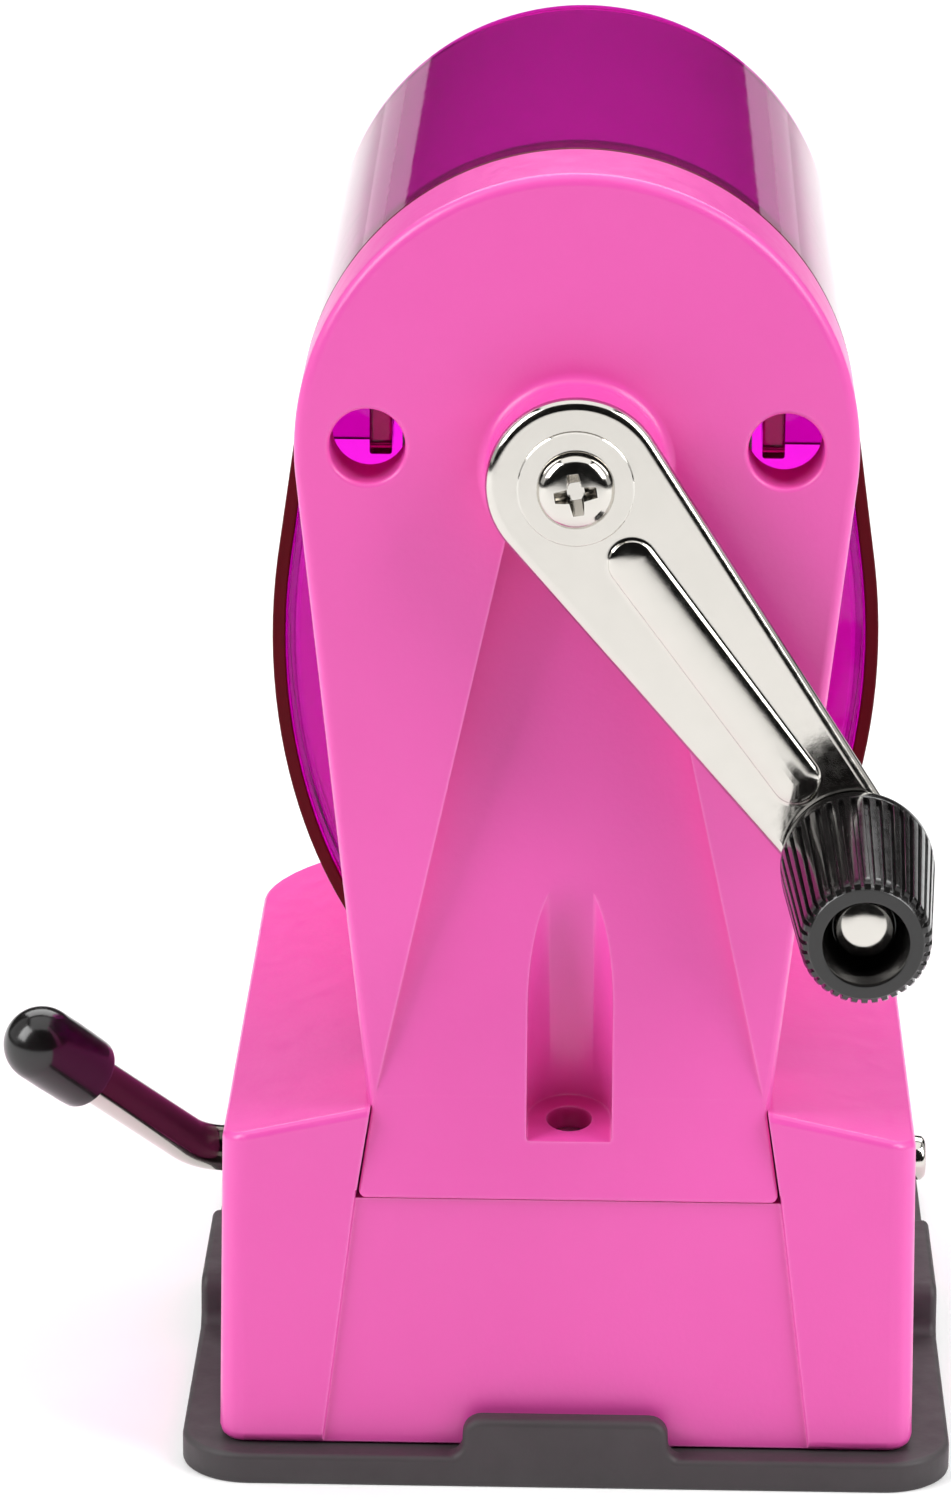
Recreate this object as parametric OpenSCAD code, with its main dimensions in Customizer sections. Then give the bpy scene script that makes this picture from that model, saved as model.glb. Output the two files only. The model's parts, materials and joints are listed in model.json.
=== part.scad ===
// Hand-crank pencil sharpener on a vacuum base.
// Millimetres. Origin: centre of the pad's underside. +Z is up, the crank faces -Y, pencils enter from +Y.

/* [Base] */
// Width of the rubber pad
pad_w = 89; // [87:0.5:94]
// Depth of the rubber pad
pad_d = 102; // [101:0.5:108]
// Thickness of the rubber pad
pad_t = 3.6; // [3.4:0.1:4]
// Width of the base shell at its foot
base_w = 80; // [79:0.5:82]
// Depth of the base shell
base_d = 96; // [94:0.5:97]
// Height of the flat middle of the base roof
roof_z = 45; // [44.5:0.1:45.2]
// Wall thickness of the base shell
base_wall = 2.5; // [2:0.1:3]

/* [Column] */
// Height of the column's foot above the table
foot_z = 34.3; // [33.5:0.1:35]
// Half-width of the column at its waist
waist_x = 22; // [21:0.1:22.5]
// Radius of the round head of the column
head_r = 31.1; // [30.5:0.1:31.5]
// Radius of the two side holes
eye_r = 4.2; // [3.5:0.1:4.6]
// Lean of the recessed facet, in degrees
facet_lean = 5.7; // [5.2:0.1:5.9]
// Radius of the screw pocket
pocket_r = 4.85; // [4.5:0.05:5]

/* [Crank] */
// Height of the crank axis
axis_z = 120; // [119.5:0.1:120.5]
// Distance from the crank axis to the knob axis
crank_len = 52.7; // [50:0.1:54]
// Resting angle of the arm below +X, in degrees
crank_rest = 53.3; // [50:0.1:56]
// Radius of the arm's round end at the shaft
arm_r = 9.9; // [9.5:0.1:10.5]
// Radius of the arm's round end at the knob
arm_tip_r = 6.1; // [5.5:0.1:7]
// Length of the knob
knob_len = 27; // [24:0.5:29]
// Radius of the knob next to the arm
knob_r = 8.5; // [8:0.1:9]
// Radius of the knob at its free end
knob_tip_r = 7; // [6.5:0.1:7.5]

/* [Cutters] */
// Radius of a helical cutter
cutter_r = 6; // [5.8:0.05:6]
// Slant of a cutter axis to the main axis, in degrees
cutter_slant = 10.5; // [10.4:0.05:10.6]
// Teeth on the ring gear
ring_teeth = 40; // [40]
// Teeth on each cutter pinion
pinion_teeth = 12; // [12]

/* [Receptacle] */
// Half-width of the egg-shaped receptacle
egg_a = 34.3; // [33.8:0.1:35]
// Half-height of the egg's lower part
egg_b = 50; // [48:0.5:50.5]
// Height of the egg's widest line
egg_z = 96.2; // [96:0.1:98]
// Outer end of the receptacle along Y
drum_end = 56; // [54:0.5:58]
// Wall thickness of the receptacle
drum_wall = 1.5; // [1.4:0.1:2]
// Radius of the pencil size dial
dial_r = 20; // [19:0.5:21]

/* [Lever] */
// Height of the lever axle
lever_z = 21.5; // [21.4:0.1:21.6]
// Radius of the lever rod
rod_r = 2.8; // [2.7:0.05:2.8]
// Length from the bend to the centre of the cap's round end
lever_len = 28.5; // [24:0.5:32]
// Turn of the arm from upright towards -Y at rest, in degrees
lever_rest = 36; // [30:1:40]
// Tilt of the arm away from upright, outwards, in degrees
lever_splay = 38.8; // [35:0.1:42]
// Lift of the suction diaphragm
lift = 3; // [2.5:0.1:3]

/* [Hidden] */
$fn = 64;

// Colours
pink = [0.89, 0.40, 0.69];
rubber = [0.29, 0.27, 0.28];
nickel = [0.86, 0.85, 0.82];
steel = [0.62, 0.63, 0.65];
bronze = [0.72, 0.53, 0.30];
purple = [0.62, 0.10, 0.62, 0.6];
black = [0.08, 0.08, 0.08];

// Gaps: a turning or sliding fit, and a hair that lets two surfaces meet without a shared sliver
fit = 0.05;
eps = 0.01;

// Base
base_y = base_d / 2;
shell_z = pad_t;
eave_z = roof_z - 3.6;
ridge_x = 23;
draft = 0.5;
corner_front = 3;
corner_rear = 11;
pad_corner = 8;
tab_w = 23.6;
tab_top = 9.3;
tab_gap = 0.3;
pad_hole_r = 34.5;
plate_t = 2.2;
plate_w = base_w - 2 * base_wall - 0.4;
pan_z = 7.7;
pan_top = 9.7;
pan_r = 35;
pan_wall = 1.4;
boss_r = 4.5;
screw_r = 1.6;
screw_head_r = 3.4;
screw_len = 17.6;
screw_bore = 24;
boss_x = 31.5;
boss_y = base_y - 7.5;
panel_depth = 0.5;
panel_top_x = 24;
panel_foot_x = 28.4;

// Column
wall_front = -46.8;
wall_back = -38.3;
column_back = -32.8;
waist_z = 46;
foot_x = 24;
head_z = 121.8;
eye_x = 23;
eye_z = 122.3;
rim = 3;
facet_x = 7.8;
facet_z = 110;
boss_front = -53;
boss_pad_r = 9.75;
pocket_lean = 12.5;
pocket_y = -42.5;
pocket_z = 42.3;
pocket_hole_r = 2.55;
pocket_screw_r = 1.5;
pocket_screw_len = 16.5;
pocket_seat = 4;
pocket_len = 45;
socket_r = 4.2;
socket_from = -18;
socket_len = 10;
notch_gap = 0.2;
shelf_t = 2.5;
notch_back = column_back + 0.2;
hollow_z = 56;

// Crank
shaft_r = 3;
bush_r = 5;
bush_gap = 0.04;
stub_r = 2.4;
arm_back = -53.4;
arm_front = -55;
thread_r = 1.9;
washer_r = 6.4;
washer_t = 0.4;
head_screw_r = 4.26;
head_screw_h = 2.5;
pin_r = 2;
rib_from = 10;
rib_to = 41;
rib_r = 2.3;
rib_h = 0.8;
pin_head_r = 3.3;
knob_back = arm_front - 0.4;
knob_bore_depth = 6;
knob_bore_r = 4.6;
knob_x = crank_len * cos(crank_rest);
knob_z = axis_z - crank_len * sin(crank_rest);

// Cutter head
apex_y = -22;
slant_tan = tan(cutter_slant);
cutter_off = cutter_r / cos(cutter_slant);
axle_r = 1.63;
axle_from = -7;
axle_len = 42.5;
cutter_bore_r = 1.7;
cutter_from = 2.5;
cutter_to = 23.5;
neck_r = 2.6;
pinion_from = 27;
pinion_to = 29.4;
pinion_root = 4.05;
pinion_tip = 5.25;
pinion_tooth = [1.35, 0.6];
ring_tooth = [1.35, 0.7];
ring_tip = 15.6;
ring_root = 16.8;
ring_out = 18.2;
ring_y = 3.4;
ring_w = 5;
frame_ring_y = 2;
frame_ring_end = 9;
frame_ring_r = 19.8;
frame_bore_r = 17;
frame_arm_t = 2.1;
frame_arm_in = 17.3;
frame_arm_h = 14;
frame_plate_t = 3;
hub_y = -30;
hub_w = 6;
hub_r = 12.8;
front_y = 9.4;
front_w = 4.6;
front_r = 16.4;
front_bore_r = 5;
bar_in = 9.4;
bar_out = 13.4;
bar_h = 8;
frame_screw_r = 1.3;
frame_head_r = 2.6;
frame_head_h = 1.8;
frame_screw_ring = 13;
frame_screw_depth = 6;
frame_screw_spots = [for (i = [0 : 2]) frame_screw_ring * [cos(90 + i * 120), sin(90 + i * 120)]];

// Receptacle
back_y = column_back + 0.2;
panel_y = back_y + 0.6;
panel_end = panel_y + drum_wall;
latch_in = 20.6;
latch_out = 23.1;
latch_z = 119;
latch_front = wall_back + 0.8;
latch_h = 8;
latch_root = head_r - drum_wall - 1;
guide_in = 4.9;
guide_out = 6.6;
guide_y = 18;
guide_flange = 1.4;
hole_ring = 13;
dial_z = axis_z - hole_ring;
dial_y = drum_end + 0.4;
dial_t = 4;
dial_holes = 8;
dial_washer_r = 5;
hole_min = 3.2;
hole_step = 0.2;
hole_at_rest = 5;

// Lever and lift
wall_x = base_w / 2;
bend_x = -45.3;
rod_end = 43.2;
clip_x = wall_x - base_wall - 1.7;
clip_r = 5;
clip_t = 1;
cap_r = 4.6;
cap_len = 13;
lever_turn = 100;
cam_r = 5.5;
cam_w = 8;
cam_pin_r = 0.8;
cam_pin_len = 8.8;
cam_e = lift / (2 * sin(lever_turn / 2));
cam_y = -cam_e * cos(lever_turn / 2);
cam_z = lever_z - lift / 2;
window_gap = 0.17;
window_y = 7.9;
yoke_y = 10.4;
yoke_h = 2.5;
yoke_w = 10;
stem_r = 3;
lift_plate_z = 2.6;
lift_plate_t = 1.2;
lift_plate_r = 22;
diaphragm_z = 0;
diaphragm_r = 34;

// Points of a quarter circle about [x, y], starting at angle a
function corner(x, y, r, a) = [for (i = [0 : 8]) [x + r * cos(a + i * 11.25), y + r * sin(a + i * 11.25)]];

// Rectangle with rf at its front corners and rr at its rear corners
function slab(w, d, rf, rr) = concat(
    corner(w / 2 - rr, d / 2 - rr, rr, 0),
    corner(-w / 2 + rr, d / 2 - rr, rr, 90),
    corner(-w / 2 + rf, -d / 2 + rf, rf, 180),
    corner(w / 2 - rf, -d / 2 + rf, rf, 270));

// Point of the egg outline whose outward normal points along angle a, drawn in by g
function egg_point(a, g) =
    let (r = head_r - g, p = egg_a - g, q = egg_b - g,
        s = sqrt(pow(p * cos(a), 2) + pow(q * sin(a), 2)),
        round_reach = r + head_z * sin(a),
        oval_reach = s + egg_z * sin(a))
    round_reach > oval_reach
        ? [r * cos(a), head_z + r * sin(a)]
        : [p * p * cos(a) / s, egg_z + q * q * sin(a) / s];

function egg(g) = [for (i = [0 : 95]) egg_point(i * 3.75, g)];

// Extrudes a drawing in X and Z from y0 to y1
module along_y(y0, y1) {
    translate([0, y1, 0]) rotate([90, 0, 0]) linear_extrude(y1 - y0) children();
}

// Cylinder on an axis parallel to Y, through [x, z]
module rod_y(r, y0, y1, x = 0, z = axis_z) {
    translate([x, y1, z]) rotate([90, 0, 0]) cylinder(r = r, h = y1 - y0);
}

// Cylinder on an axis parallel to X, at the lever axle
module rod_x(r, x0, x1) {
    translate([x0, 0, lever_z]) rotate([0, 90, 0]) cylinder(r = r, h = x1 - x0);
}

// ---- Base ----

module pad_tab(t) {
    r = 2;
    h = tab_top - pad_t + 1;
    linear_extrude(t) polygon(concat(
        [[-tab_w / 2, 0], [tab_w / 2, 0]],
        corner(tab_w / 2 - r, h - r, r, 0),
        corner(-tab_w / 2 + r, h - r, r, 90)));
}

module suction_pad() {
    side_t = pad_w / 2 - base_w / 2 - tab_gap;
    end_t = pad_d / 2 - base_y - tab_gap;
    color(rubber) union() {
        difference() {
            linear_extrude(pad_t) polygon(slab(pad_w, pad_d, pad_corner, pad_corner));
            translate([0, 0, -1]) cylinder(r = pad_hole_r, h = pad_t + 2);
        }
        for (s = [-1, 1]) {
            translate([0, s > 0 ? pad_d / 2 : -pad_d / 2 + end_t, pad_t - 1])
                rotate([90, 0, 0]) pad_tab(end_t);
            translate([s > 0 ? pad_w / 2 - side_t : -pad_w / 2, 0, pad_t - 1])
                rotate([90, 0, 90]) pad_tab(side_t);
        }
    }
}

module shell_section(g) {
    along_y(-base_y, base_y) polygon([
        [-wall_x + g, shell_z - g], [wall_x - g, shell_z - g],
        [wall_x - draft - g, eave_z - g * 0.85], [ridge_x, roof_z - g],
        [-ridge_x, roof_z - g], [-wall_x + draft + g, eave_z - g * 0.85]]);
}

module shell_block(g) {
    rf = max(corner_front - g, 0.5);
    intersection() {
        linear_extrude(roof_z + 1) polygon(slab(base_w - 2 * g, base_d - 2 * g, rf, corner_rear - g));
        shell_section(g);
    }
}

module notch() {
    g = notch_gap;
    along_y(-base_y - 1, notch_back) polygon([
        [-foot_x - g, foot_z], [foot_x + g, foot_z],
        [waist_x + g, waist_z], [-waist_x - g, waist_z]]);
}

module base_shell() {
    lip = foot_x + base_wall;
    color(pink) difference() {
        union() {
            difference() {
                shell_block(0);
                shell_block(base_wall);
            }
            for (x = [-boss_x, boss_x], y = [-boss_y, boss_y])
                translate([x, y, shell_z + plate_t]) cylinder(r = boss_r, h = eave_z - shell_z - plate_t);
            translate([-lip, -base_y + 1, foot_z - shelf_t])
                cube([2 * lip, notch_back + base_wall + base_y - 1, roof_z - foot_z + shelf_t - 1]);
            pocket_frame() translate([0, 0, socket_from]) cylinder(r = socket_r, h = socket_len);
        }
        notch();
        along_y(-base_y - 1, -base_y + panel_depth) polygon([
            [-panel_foot_x, 0], [panel_foot_x, 0],
            [panel_top_x, foot_z + 1], [-panel_top_x, foot_z + 1]]);
        for (x = [-boss_x, boss_x], y = [-boss_y, boss_y])
            translate([x, y, 0]) cylinder(r = screw_r, h = screw_bore);
        pocket_frame() translate([0, 0, socket_from + 1]) cylinder(r = pocket_screw_r, h = 2 * socket_len);
        rod_x(rod_r + fit, -wall_x - 1, wall_x + 1);
    }
}

module base_plate() {
    color(steel) difference() {
        union() {
            translate([0, 0, shell_z]) linear_extrude(plate_t)
                polygon(slab(plate_w, plate_w + base_d - base_w, 1.5, corner_rear - base_wall));
            translate([0, 0, shell_z]) cylinder(r = pan_r + pan_wall, h = pan_top - shell_z);
        }
        translate([0, 0, -1]) cylinder(r = pan_r, h = pan_z + 1);
        cylinder(r = bush_r, h = 20);
        for (x = [-boss_x, boss_x], y = [-boss_y, boss_y]) translate([x, y, shell_z]) plate_screw();
    }
}

// Countersunk screw, head down
module plate_screw() {
    head_h = screw_head_r - screw_r;
    rotate_extrude() polygon([
        [0, 0], [screw_head_r, 0], [screw_r, head_h],
        [screw_r, screw_len - screw_r], [0, screw_len]]);
}

module base_plate_screws() {
    color(steel) for (x = [-boss_x, boss_x], y = [-boss_y, boss_y])
        translate([x, y, shell_z]) plate_screw();
}

module stem_guide() {
    color(black) difference() {
        union() {
            translate([0, 0, pan_z - 0.4]) cylinder(r = bush_r, h = 3.1);
            translate([0, 0, pan_top]) cylinder(r = bush_r + 2, h = 0.7);
        }
        cylinder(r = stem_r + fit, h = 20);
    }
}

// ---- Column ----

// Column outline: a trapezoid that runs tangent into the round head, drawn in by g, from height z0 up
module column_outline(g, z0) {
    reach = norm([waist_x, head_z - waist_z]);
    side = atan2(waist_x, head_z - waist_z) - asin(head_r / reach);
    r = head_r - g;
    t = [r * cos(side), head_z + r * sin(side)];
    foot = [waist_x - g / cos(side) - (z0 - waist_z) * tan(side), z0];
    translate([0, head_z]) circle(r = r, $fn = 128);
    polygon([[-foot.x, z0], [foot.x, z0], t, [-t.x, t.y]]);
}

// Everything in front of the leaning facet
module facet_cut(x0, z0, x1, z1) {
    slope = tan(facet_lean);
    intersection() {
        translate([-50, 0, 0]) rotate([90, 0, 90]) linear_extrude(100) polygon([
            [-base_y - 20, foot_z - 1], [-base_y - slope, foot_z - 1],
            [-base_y + slope * (z1 - foot_z), z1], [-base_y - 20, z1]]);
        along_y(-base_y - 20, 0) polygon([[-x0, z0], [x0, z0], [x1, z1], [-x1, z1]]);
    }
}

// Frame of the screw pocket: its floor is the plane z = 0
module pocket_frame() {
    translate([0, pocket_y, pocket_z]) rotate([pocket_lean, 0, 0]) children();
}

module support_column() {
    color(pink) difference() {
        union() {
            difference() {
                union() {
                    along_y(wall_front, column_back) column_outline(0, waist_z);
                    along_y(-base_y, column_back) polygon([
                        [-foot_x, foot_z], [foot_x, foot_z], [waist_x, waist_z], [-waist_x, waist_z]]);
                }
                facet_cut(foot_x + 2, foot_z - 1, foot_x + 2, waist_z);
                facet_cut(waist_x, waist_z - eps, facet_x - 1, facet_z + 6);
                along_y(wall_back, 0) column_outline(rim, hollow_z);
            }
            rod_y(boss_pad_r, boss_front, wall_back);
        }
        rod_y(bush_r, boss_front - 1, wall_back + 1);
        for (x = [-eye_x, eye_x]) rod_y(eye_r, wall_front - 10, wall_back + 1, x, eye_z);
        for (p = frame_screw_spots)
            rod_y(frame_screw_r, wall_back - frame_screw_depth, wall_back + 1, p.x, axis_z + p.y);
        pocket_frame() {
            cylinder(r = pocket_r, h = pocket_len);
            translate([-pocket_r, -20, 0]) cube([2 * pocket_r, 20, pocket_len]);
            translate([0, 0, -pocket_seat]) cylinder(r = pocket_hole_r, h = pocket_seat + 1);
            translate([0, 0, -12]) cylinder(r = pocket_screw_r, h = 12);
        }
    }
}

module column_screw() {
    head = pocket_hole_r - 0.1;
    color(steel) pocket_frame() rotate_extrude() polygon([
        [0, -pocket_screw_len], [pocket_screw_r, pocket_screw_r - pocket_screw_len],
        [pocket_screw_r, -pocket_seat], [head, -pocket_seat], [head, 1.2 - pocket_seat],
        [head / 2, 1.8 - pocket_seat], [0, 1.8 - pocket_seat]]);
}

module shaft_bush() {
    color(bronze) difference() {
        rod_y(bush_r, boss_front, wall_back + frame_plate_t);
        rod_y(shaft_r + bush_gap, boss_front - 1, wall_back + frame_plate_t + 1);
    }
}

// ---- Cutter head ----

module cutter_frame() {
    plate_end = wall_back + frame_plate_t;
    arm_out = frame_arm_in + frame_arm_t;
    color(steel) difference() {
        union() {
            rod_y(frame_bore_r, wall_back, plate_end);
            translate([-arm_out, wall_back, axis_z - frame_arm_h / 2])
                cube([2 * arm_out, frame_plate_t, frame_arm_h]);
            for (x = [-arm_out, frame_arm_in])
                translate([x, wall_back, axis_z - frame_arm_h / 2])
                    cube([arm_out - frame_arm_in, frame_ring_y - wall_back + 1, frame_arm_h]);
            rod_y(frame_ring_r, frame_ring_y, frame_ring_end);
        }
        rod_y(bush_r, wall_back - 1, plate_end + 1);
        rod_y(frame_bore_r, frame_ring_y - 1, frame_ring_end + 1);
        rod_y(ring_out, ring_y, frame_ring_end + 1);
        for (p = frame_screw_spots)
            rod_y(frame_screw_r, wall_back - 1, plate_end + 1, p.x, axis_z + p.y);
    }
}

module cutter_frame_screws() {
    plate_end = wall_back + frame_plate_t;
    color(steel) for (p = frame_screw_spots) {
        rod_y(frame_screw_r, wall_back - frame_screw_depth, plate_end + 1, p.x, axis_z + p.y);
        rod_y(frame_head_r, plate_end, plate_end + frame_head_h, p.x, axis_z + p.y);
    }
}

// A wedge tooth that points along +X, from radius r0 to r1, with its widths at the two ends
module tooth(r0, r1, w) {
    polygon([[r0, -w[0] / 2], [r1, -w[1] / 2], [r1, w[1] / 2], [r0, w[0] / 2]]);
}

module ring_gear() {
    color(steel) translate([0, ring_y + ring_w, axis_z]) rotate([90, 0, 0]) linear_extrude(ring_w)
        difference() {
            circle(r = ring_out, $fn = 96);
            difference() {
                circle(r = ring_root, $fn = 96);
                for (i = [0 : ring_teeth - 1])
                    rotate((i + 0.5) * 360 / ring_teeth) tooth(ring_root + 0.5, ring_tip, ring_tooth);
            }
        }
}

module drive_shaft() {
    color(nickel) difference() {
        union() {
            rod_y(shaft_r, arm_back, hub_y + hub_w);
            rod_y(stub_r, arm_front, arm_back + 1);
        }
        rod_y(thread_r, arm_front - 1, arm_front + 9);
    }
}

module shaft_clip() {
    clip_y = wall_back + frame_plate_t + 0.1;
    color(steel) difference() {
        rod_y(5.2, clip_y, clip_y + 1.2);
        rod_y(shaft_r, clip_y - 1, clip_y + 3);
    }
}

// Frame of a cutter axis: +Z runs along the axis towards the pencil, side is 1 above and -1 below
module cutter_axis(side) {
    translate([0, apex_y, axis_z + side * cutter_off]) rotate([-90 + side * cutter_slant, 0, 0]) children();
}

module cutter_carrier() {
    color(steel) difference() {
        union() {
            rod_y(hub_r, hub_y, hub_y + hub_w);
            rod_y(front_r, front_y, front_y + front_w);
            for (x = [-bar_out, bar_in])
                translate([x, hub_y + 1, axis_z - bar_h / 2])
                    cube([bar_out - bar_in, front_y - hub_y, bar_h]);
        }
        rod_y(shaft_r, hub_y - 1, hub_y + hub_w + 1);
        rod_y(front_bore_r, front_y - 1, front_y + front_w + 1);
        for (s = [-1, 1]) cutter_axis(s) translate([0, 0, -15]) cylinder(r = axle_r, h = 60);
    }
}

module cutter_axles() {
    color(nickel) for (s = [-1, 1]) cutter_axis(s) translate([0, 0, axle_from])
        cylinder(r = axle_r, h = axle_len);
}

module cutter(side) {
    color(steel) cutter_axis(side) difference() {
        union() {
            translate([0, 0, cutter_from]) cylinder(r = cutter_r, h = cutter_to - cutter_from);
            translate([0, 0, cutter_to - 1]) cylinder(r = neck_r, h = pinion_to - cutter_to + 1);
        }
        cylinder(r = cutter_bore_r, h = 40);
    }
}

module pinion(side) {
    color(nickel) cutter_axis(side) translate([0, 0, pinion_from]) linear_extrude(pinion_to - pinion_from)
        difference() {
            union() {
                circle(r = pinion_root);
                for (i = [0 : pinion_teeth - 1])
                    rotate(90 + i * 360 / pinion_teeth) tooth(pinion_root - 0.5, pinion_tip, pinion_tooth);
            }
            circle(r = neck_r);
        }
}

module cutter_a() { cutter(1); }
module pinion_a() { pinion(1); }
module cutter_b() { cutter(-1); }
module pinion_b() { pinion(-1); }

// ---- Crank ----

// Turns a drawing made along +X to the arm's resting direction, about the crank axis
module arm_frame() {
    translate([0, 0, axis_z]) rotate([0, crank_rest, 0]) children();
}

// Tapered bar with two round ends, drawn in by g
module arm_outline(g) {
    a = acos((arm_r - arm_tip_r) / crank_len);
    r0 = arm_r - g;
    r1 = arm_tip_r - g;
    circle(r = r0);
    translate([crank_len, 0]) circle(r = r1);
    polygon([
        [r0 * cos(a), -r0 * sin(a)], [crank_len + r1 * cos(a), -r1 * sin(a)],
        [crank_len + r1 * cos(a), r1 * sin(a)], [r0 * cos(a), r0 * sin(a)]]);
}

module crank_arm() {
    color(nickel) arm_frame() difference() {
        union() {
            along_y(arm_front, arm_back) arm_outline(0);
            along_y(arm_front - rib_h, arm_front + 0.5) {
                translate([rib_from, 0]) circle(r = rib_r);
                translate([rib_to, 0]) circle(r = rib_r);
                translate([rib_from, -rib_r]) square([rib_to - rib_from, 2 * rib_r]);
            }
        }
        translate([0, arm_back + 1, 0]) rotate([90, 0, 0]) cylinder(r = stub_r, h = 5);
        translate([crank_len, arm_back + 1, 0]) rotate([90, 0, 0]) cylinder(r = pin_r, h = 5);
    }
}

module crank_washer() {
    color(nickel) difference() {
        rod_y(washer_r, arm_front - washer_t, arm_front);
        rod_y(thread_r, arm_front - 5, arm_front + 5);
    }
}

module crank_screw() {
    top = arm_front - washer_t;
    color(nickel) union() {
        rod_y(thread_r, top - 1, arm_front + 8);
        translate([0, top, axis_z]) rotate([90, 0, 0]) rotate_extrude() polygon([
            [0, 0], [head_screw_r, 0], [head_screw_r, 0.8], [head_screw_r * 0.86, 1.7],
            [head_screw_r * 0.55, 2.3], [0, head_screw_h]]);
    }
}

module knob_pin() {
    seat = knob_back - knob_len + knob_bore_depth;
    color(nickel) union() {
        rod_y(pin_r, seat - 1, arm_back + 0.5, knob_x, knob_z);
        rod_y(pin_head_r, arm_back, arm_back + 1, knob_x, knob_z);
        rod_y(pin_head_r, seat - 1.7, seat - 0.2, knob_x, knob_z);
    }
}

module crank_knob() {
    tip = knob_back - knob_len;
    color(black) translate([knob_x, 0, knob_z]) difference() {
        translate([0, knob_back, 0]) rotate([90, 0, 0]) rotate_extrude() polygon([
            [0, 0], [knob_r - 0.6, 0], [knob_r, 0.6], [knob_r, 3],
            [knob_tip_r, knob_len - 0.8], [knob_tip_r - 0.8, knob_len], [0, knob_len]]);
        translate([0, tip + knob_bore_depth, 0]) rotate([90, 0, 0]) cylinder(r = knob_bore_r, h = 10);
        translate([0, knob_back + 1, 0]) rotate([90, 0, 0]) cylinder(r = pin_r + fit, h = knob_len + 2);
    }
}

// ---- Receptacle ----

module receptacle_drum() {
    color(purple) difference() {
        along_y(back_y, drum_end) polygon(egg(0));
        along_y(back_y - 1, drum_end - drum_wall) polygon(egg(drum_wall));
        rod_y(guide_in, drum_end - 5, drum_end + 1);
        rod_y(pin_r, drum_end - 5, drum_end + 1, 0, dial_z);
    }
}

module receptacle_back() {
    color(purple) union() {
        difference() {
            along_y(panel_y, panel_end) polygon(egg(drum_wall));
            along_y(panel_y - 1, panel_end + 1) column_outline(rim, hollow_z + 4);
        }
        for (s = [-1, 1]) {
            lug = s > 0 ? latch_in : -latch_root;
            tongue = s > 0 ? latch_in : -latch_out;
            translate([lug, panel_y, latch_z]) cube([latch_root - latch_in, drum_wall, latch_h]);
            translate([tongue, latch_front, latch_z])
                cube([latch_out - latch_in, panel_end - latch_front, latch_h]);
        }
    }
}

module pencil_guide() {
    wall = drum_end - drum_wall;
    color(purple) difference() {
        union() {
            rod_y(guide_out, guide_y, wall);
            rod_y(guide_out + guide_flange, wall - guide_flange, wall);
        }
        rod_y(guide_in, guide_y - 1, wall + 1);
    }
}

module dial_rivet() {
    color(nickel) union() {
        rod_y(pin_r, drum_end - drum_wall - 1, dial_y + dial_t + 2, 0, dial_z);
        rod_y(pin_head_r, drum_end - drum_wall - 1.2, drum_end - drum_wall, 0, dial_z);
        rod_y(pin_head_r + 0.5, dial_y + dial_t + 1, dial_y + dial_t + 2.4, 0, dial_z);
    }
}

module dial_washer() {
    color(steel) difference() {
        rod_y(dial_washer_r, dial_y + dial_t + 0.3, dial_y + dial_t + 1, 0, dial_z);
        rod_y(pin_r, dial_y, dial_y + dial_t + 3, 0, dial_z);
    }
}

module selector_dial() {
    color(black) difference() {
        rod_y(dial_r, dial_y, dial_y + dial_t, 0, dial_z);
        rod_y(pin_r + fit, dial_y - 1, dial_y + dial_t + 1, 0, dial_z);
        for (i = [0 : dial_holes - 1]) {
            a = 90 + (i - hole_at_rest) * 360 / dial_holes;
            rod_y(hole_min + i * hole_step, dial_y - 1, dial_y + dial_t + 1,
                hole_ring * cos(a), dial_z + hole_ring * sin(a));
        }
    }
}

// ---- Lever and lift ----

// Frame of the lever arm: origin at the bend, the arm runs along +Z
module lever_arm_frame() {
    translate([bend_x, 0, lever_z]) rotate([lever_rest, 0, 0]) rotate([0, -lever_splay, 0]) children();
}

// Cylinder through the middle of the lever rod, square to it
module cross_rod(r, h) {
    translate([0, 0, lever_z]) rotate([90 - lever_turn / 2, 0, 0]) cylinder(r = r, h = h, center = true);
}

module lever_rod() {
    color(nickel) difference() {
        union() {
            rod_x(rod_r, bend_x, wall_x + 0.6);
            rod_x(rod_r - 0.7, wall_x, wall_x + 2);
            translate([wall_x + 1.4, 0, lever_z]) rotate([0, 90, 0])
                cylinder(r1 = rod_r, r2 = rod_r - 0.1, h = rod_end - wall_x - 1.9);
            translate([rod_end - 0.5, 0, lever_z]) rotate([0, 90, 0])
                cylinder(r1 = rod_r - 0.1, r2 = rod_r - 0.7, h = 0.5);
            lever_arm_frame() {
                sphere(r = rod_r + 0.03);
                cylinder(r = rod_r, h = lever_len - 2);
            }
        }
        cross_rod(cam_pin_r, 2 * rod_r + 2);
    }
}

module lever_cap() {
    sleeve = cap_len - cap_r;
    color(black) lever_arm_frame() translate([0, 0, lever_len]) difference() {
        union() {
            sphere(r = cap_r);
            translate([0, 0, -sleeve]) cylinder(r = cap_r, h = sleeve);
        }
        translate([0, 0, -sleeve - 1]) cylinder(r = rod_r, h = sleeve - 1);
    }
}

module lever_clips() {
    color(steel) difference() {
        union() {
            rod_x(clip_r, -clip_x - clip_t, -clip_x);
            rod_x(clip_r, clip_x, clip_x + clip_t);
        }
        rod_x(rod_r, -wall_x, wall_x);
    }
}

module lever_cam() {
    color(steel) difference() {
        translate([-cam_w / 2, cam_y, cam_z]) rotate([0, 90, 0]) cylinder(r = cam_r, h = cam_w);
        rod_x(rod_r, -cam_w, cam_w);
        cross_rod(cam_pin_r, 4 * cam_r);
    }
}

module cam_pin() {
    color(nickel) cross_rod(cam_pin_r, cam_pin_len);
}

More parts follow.
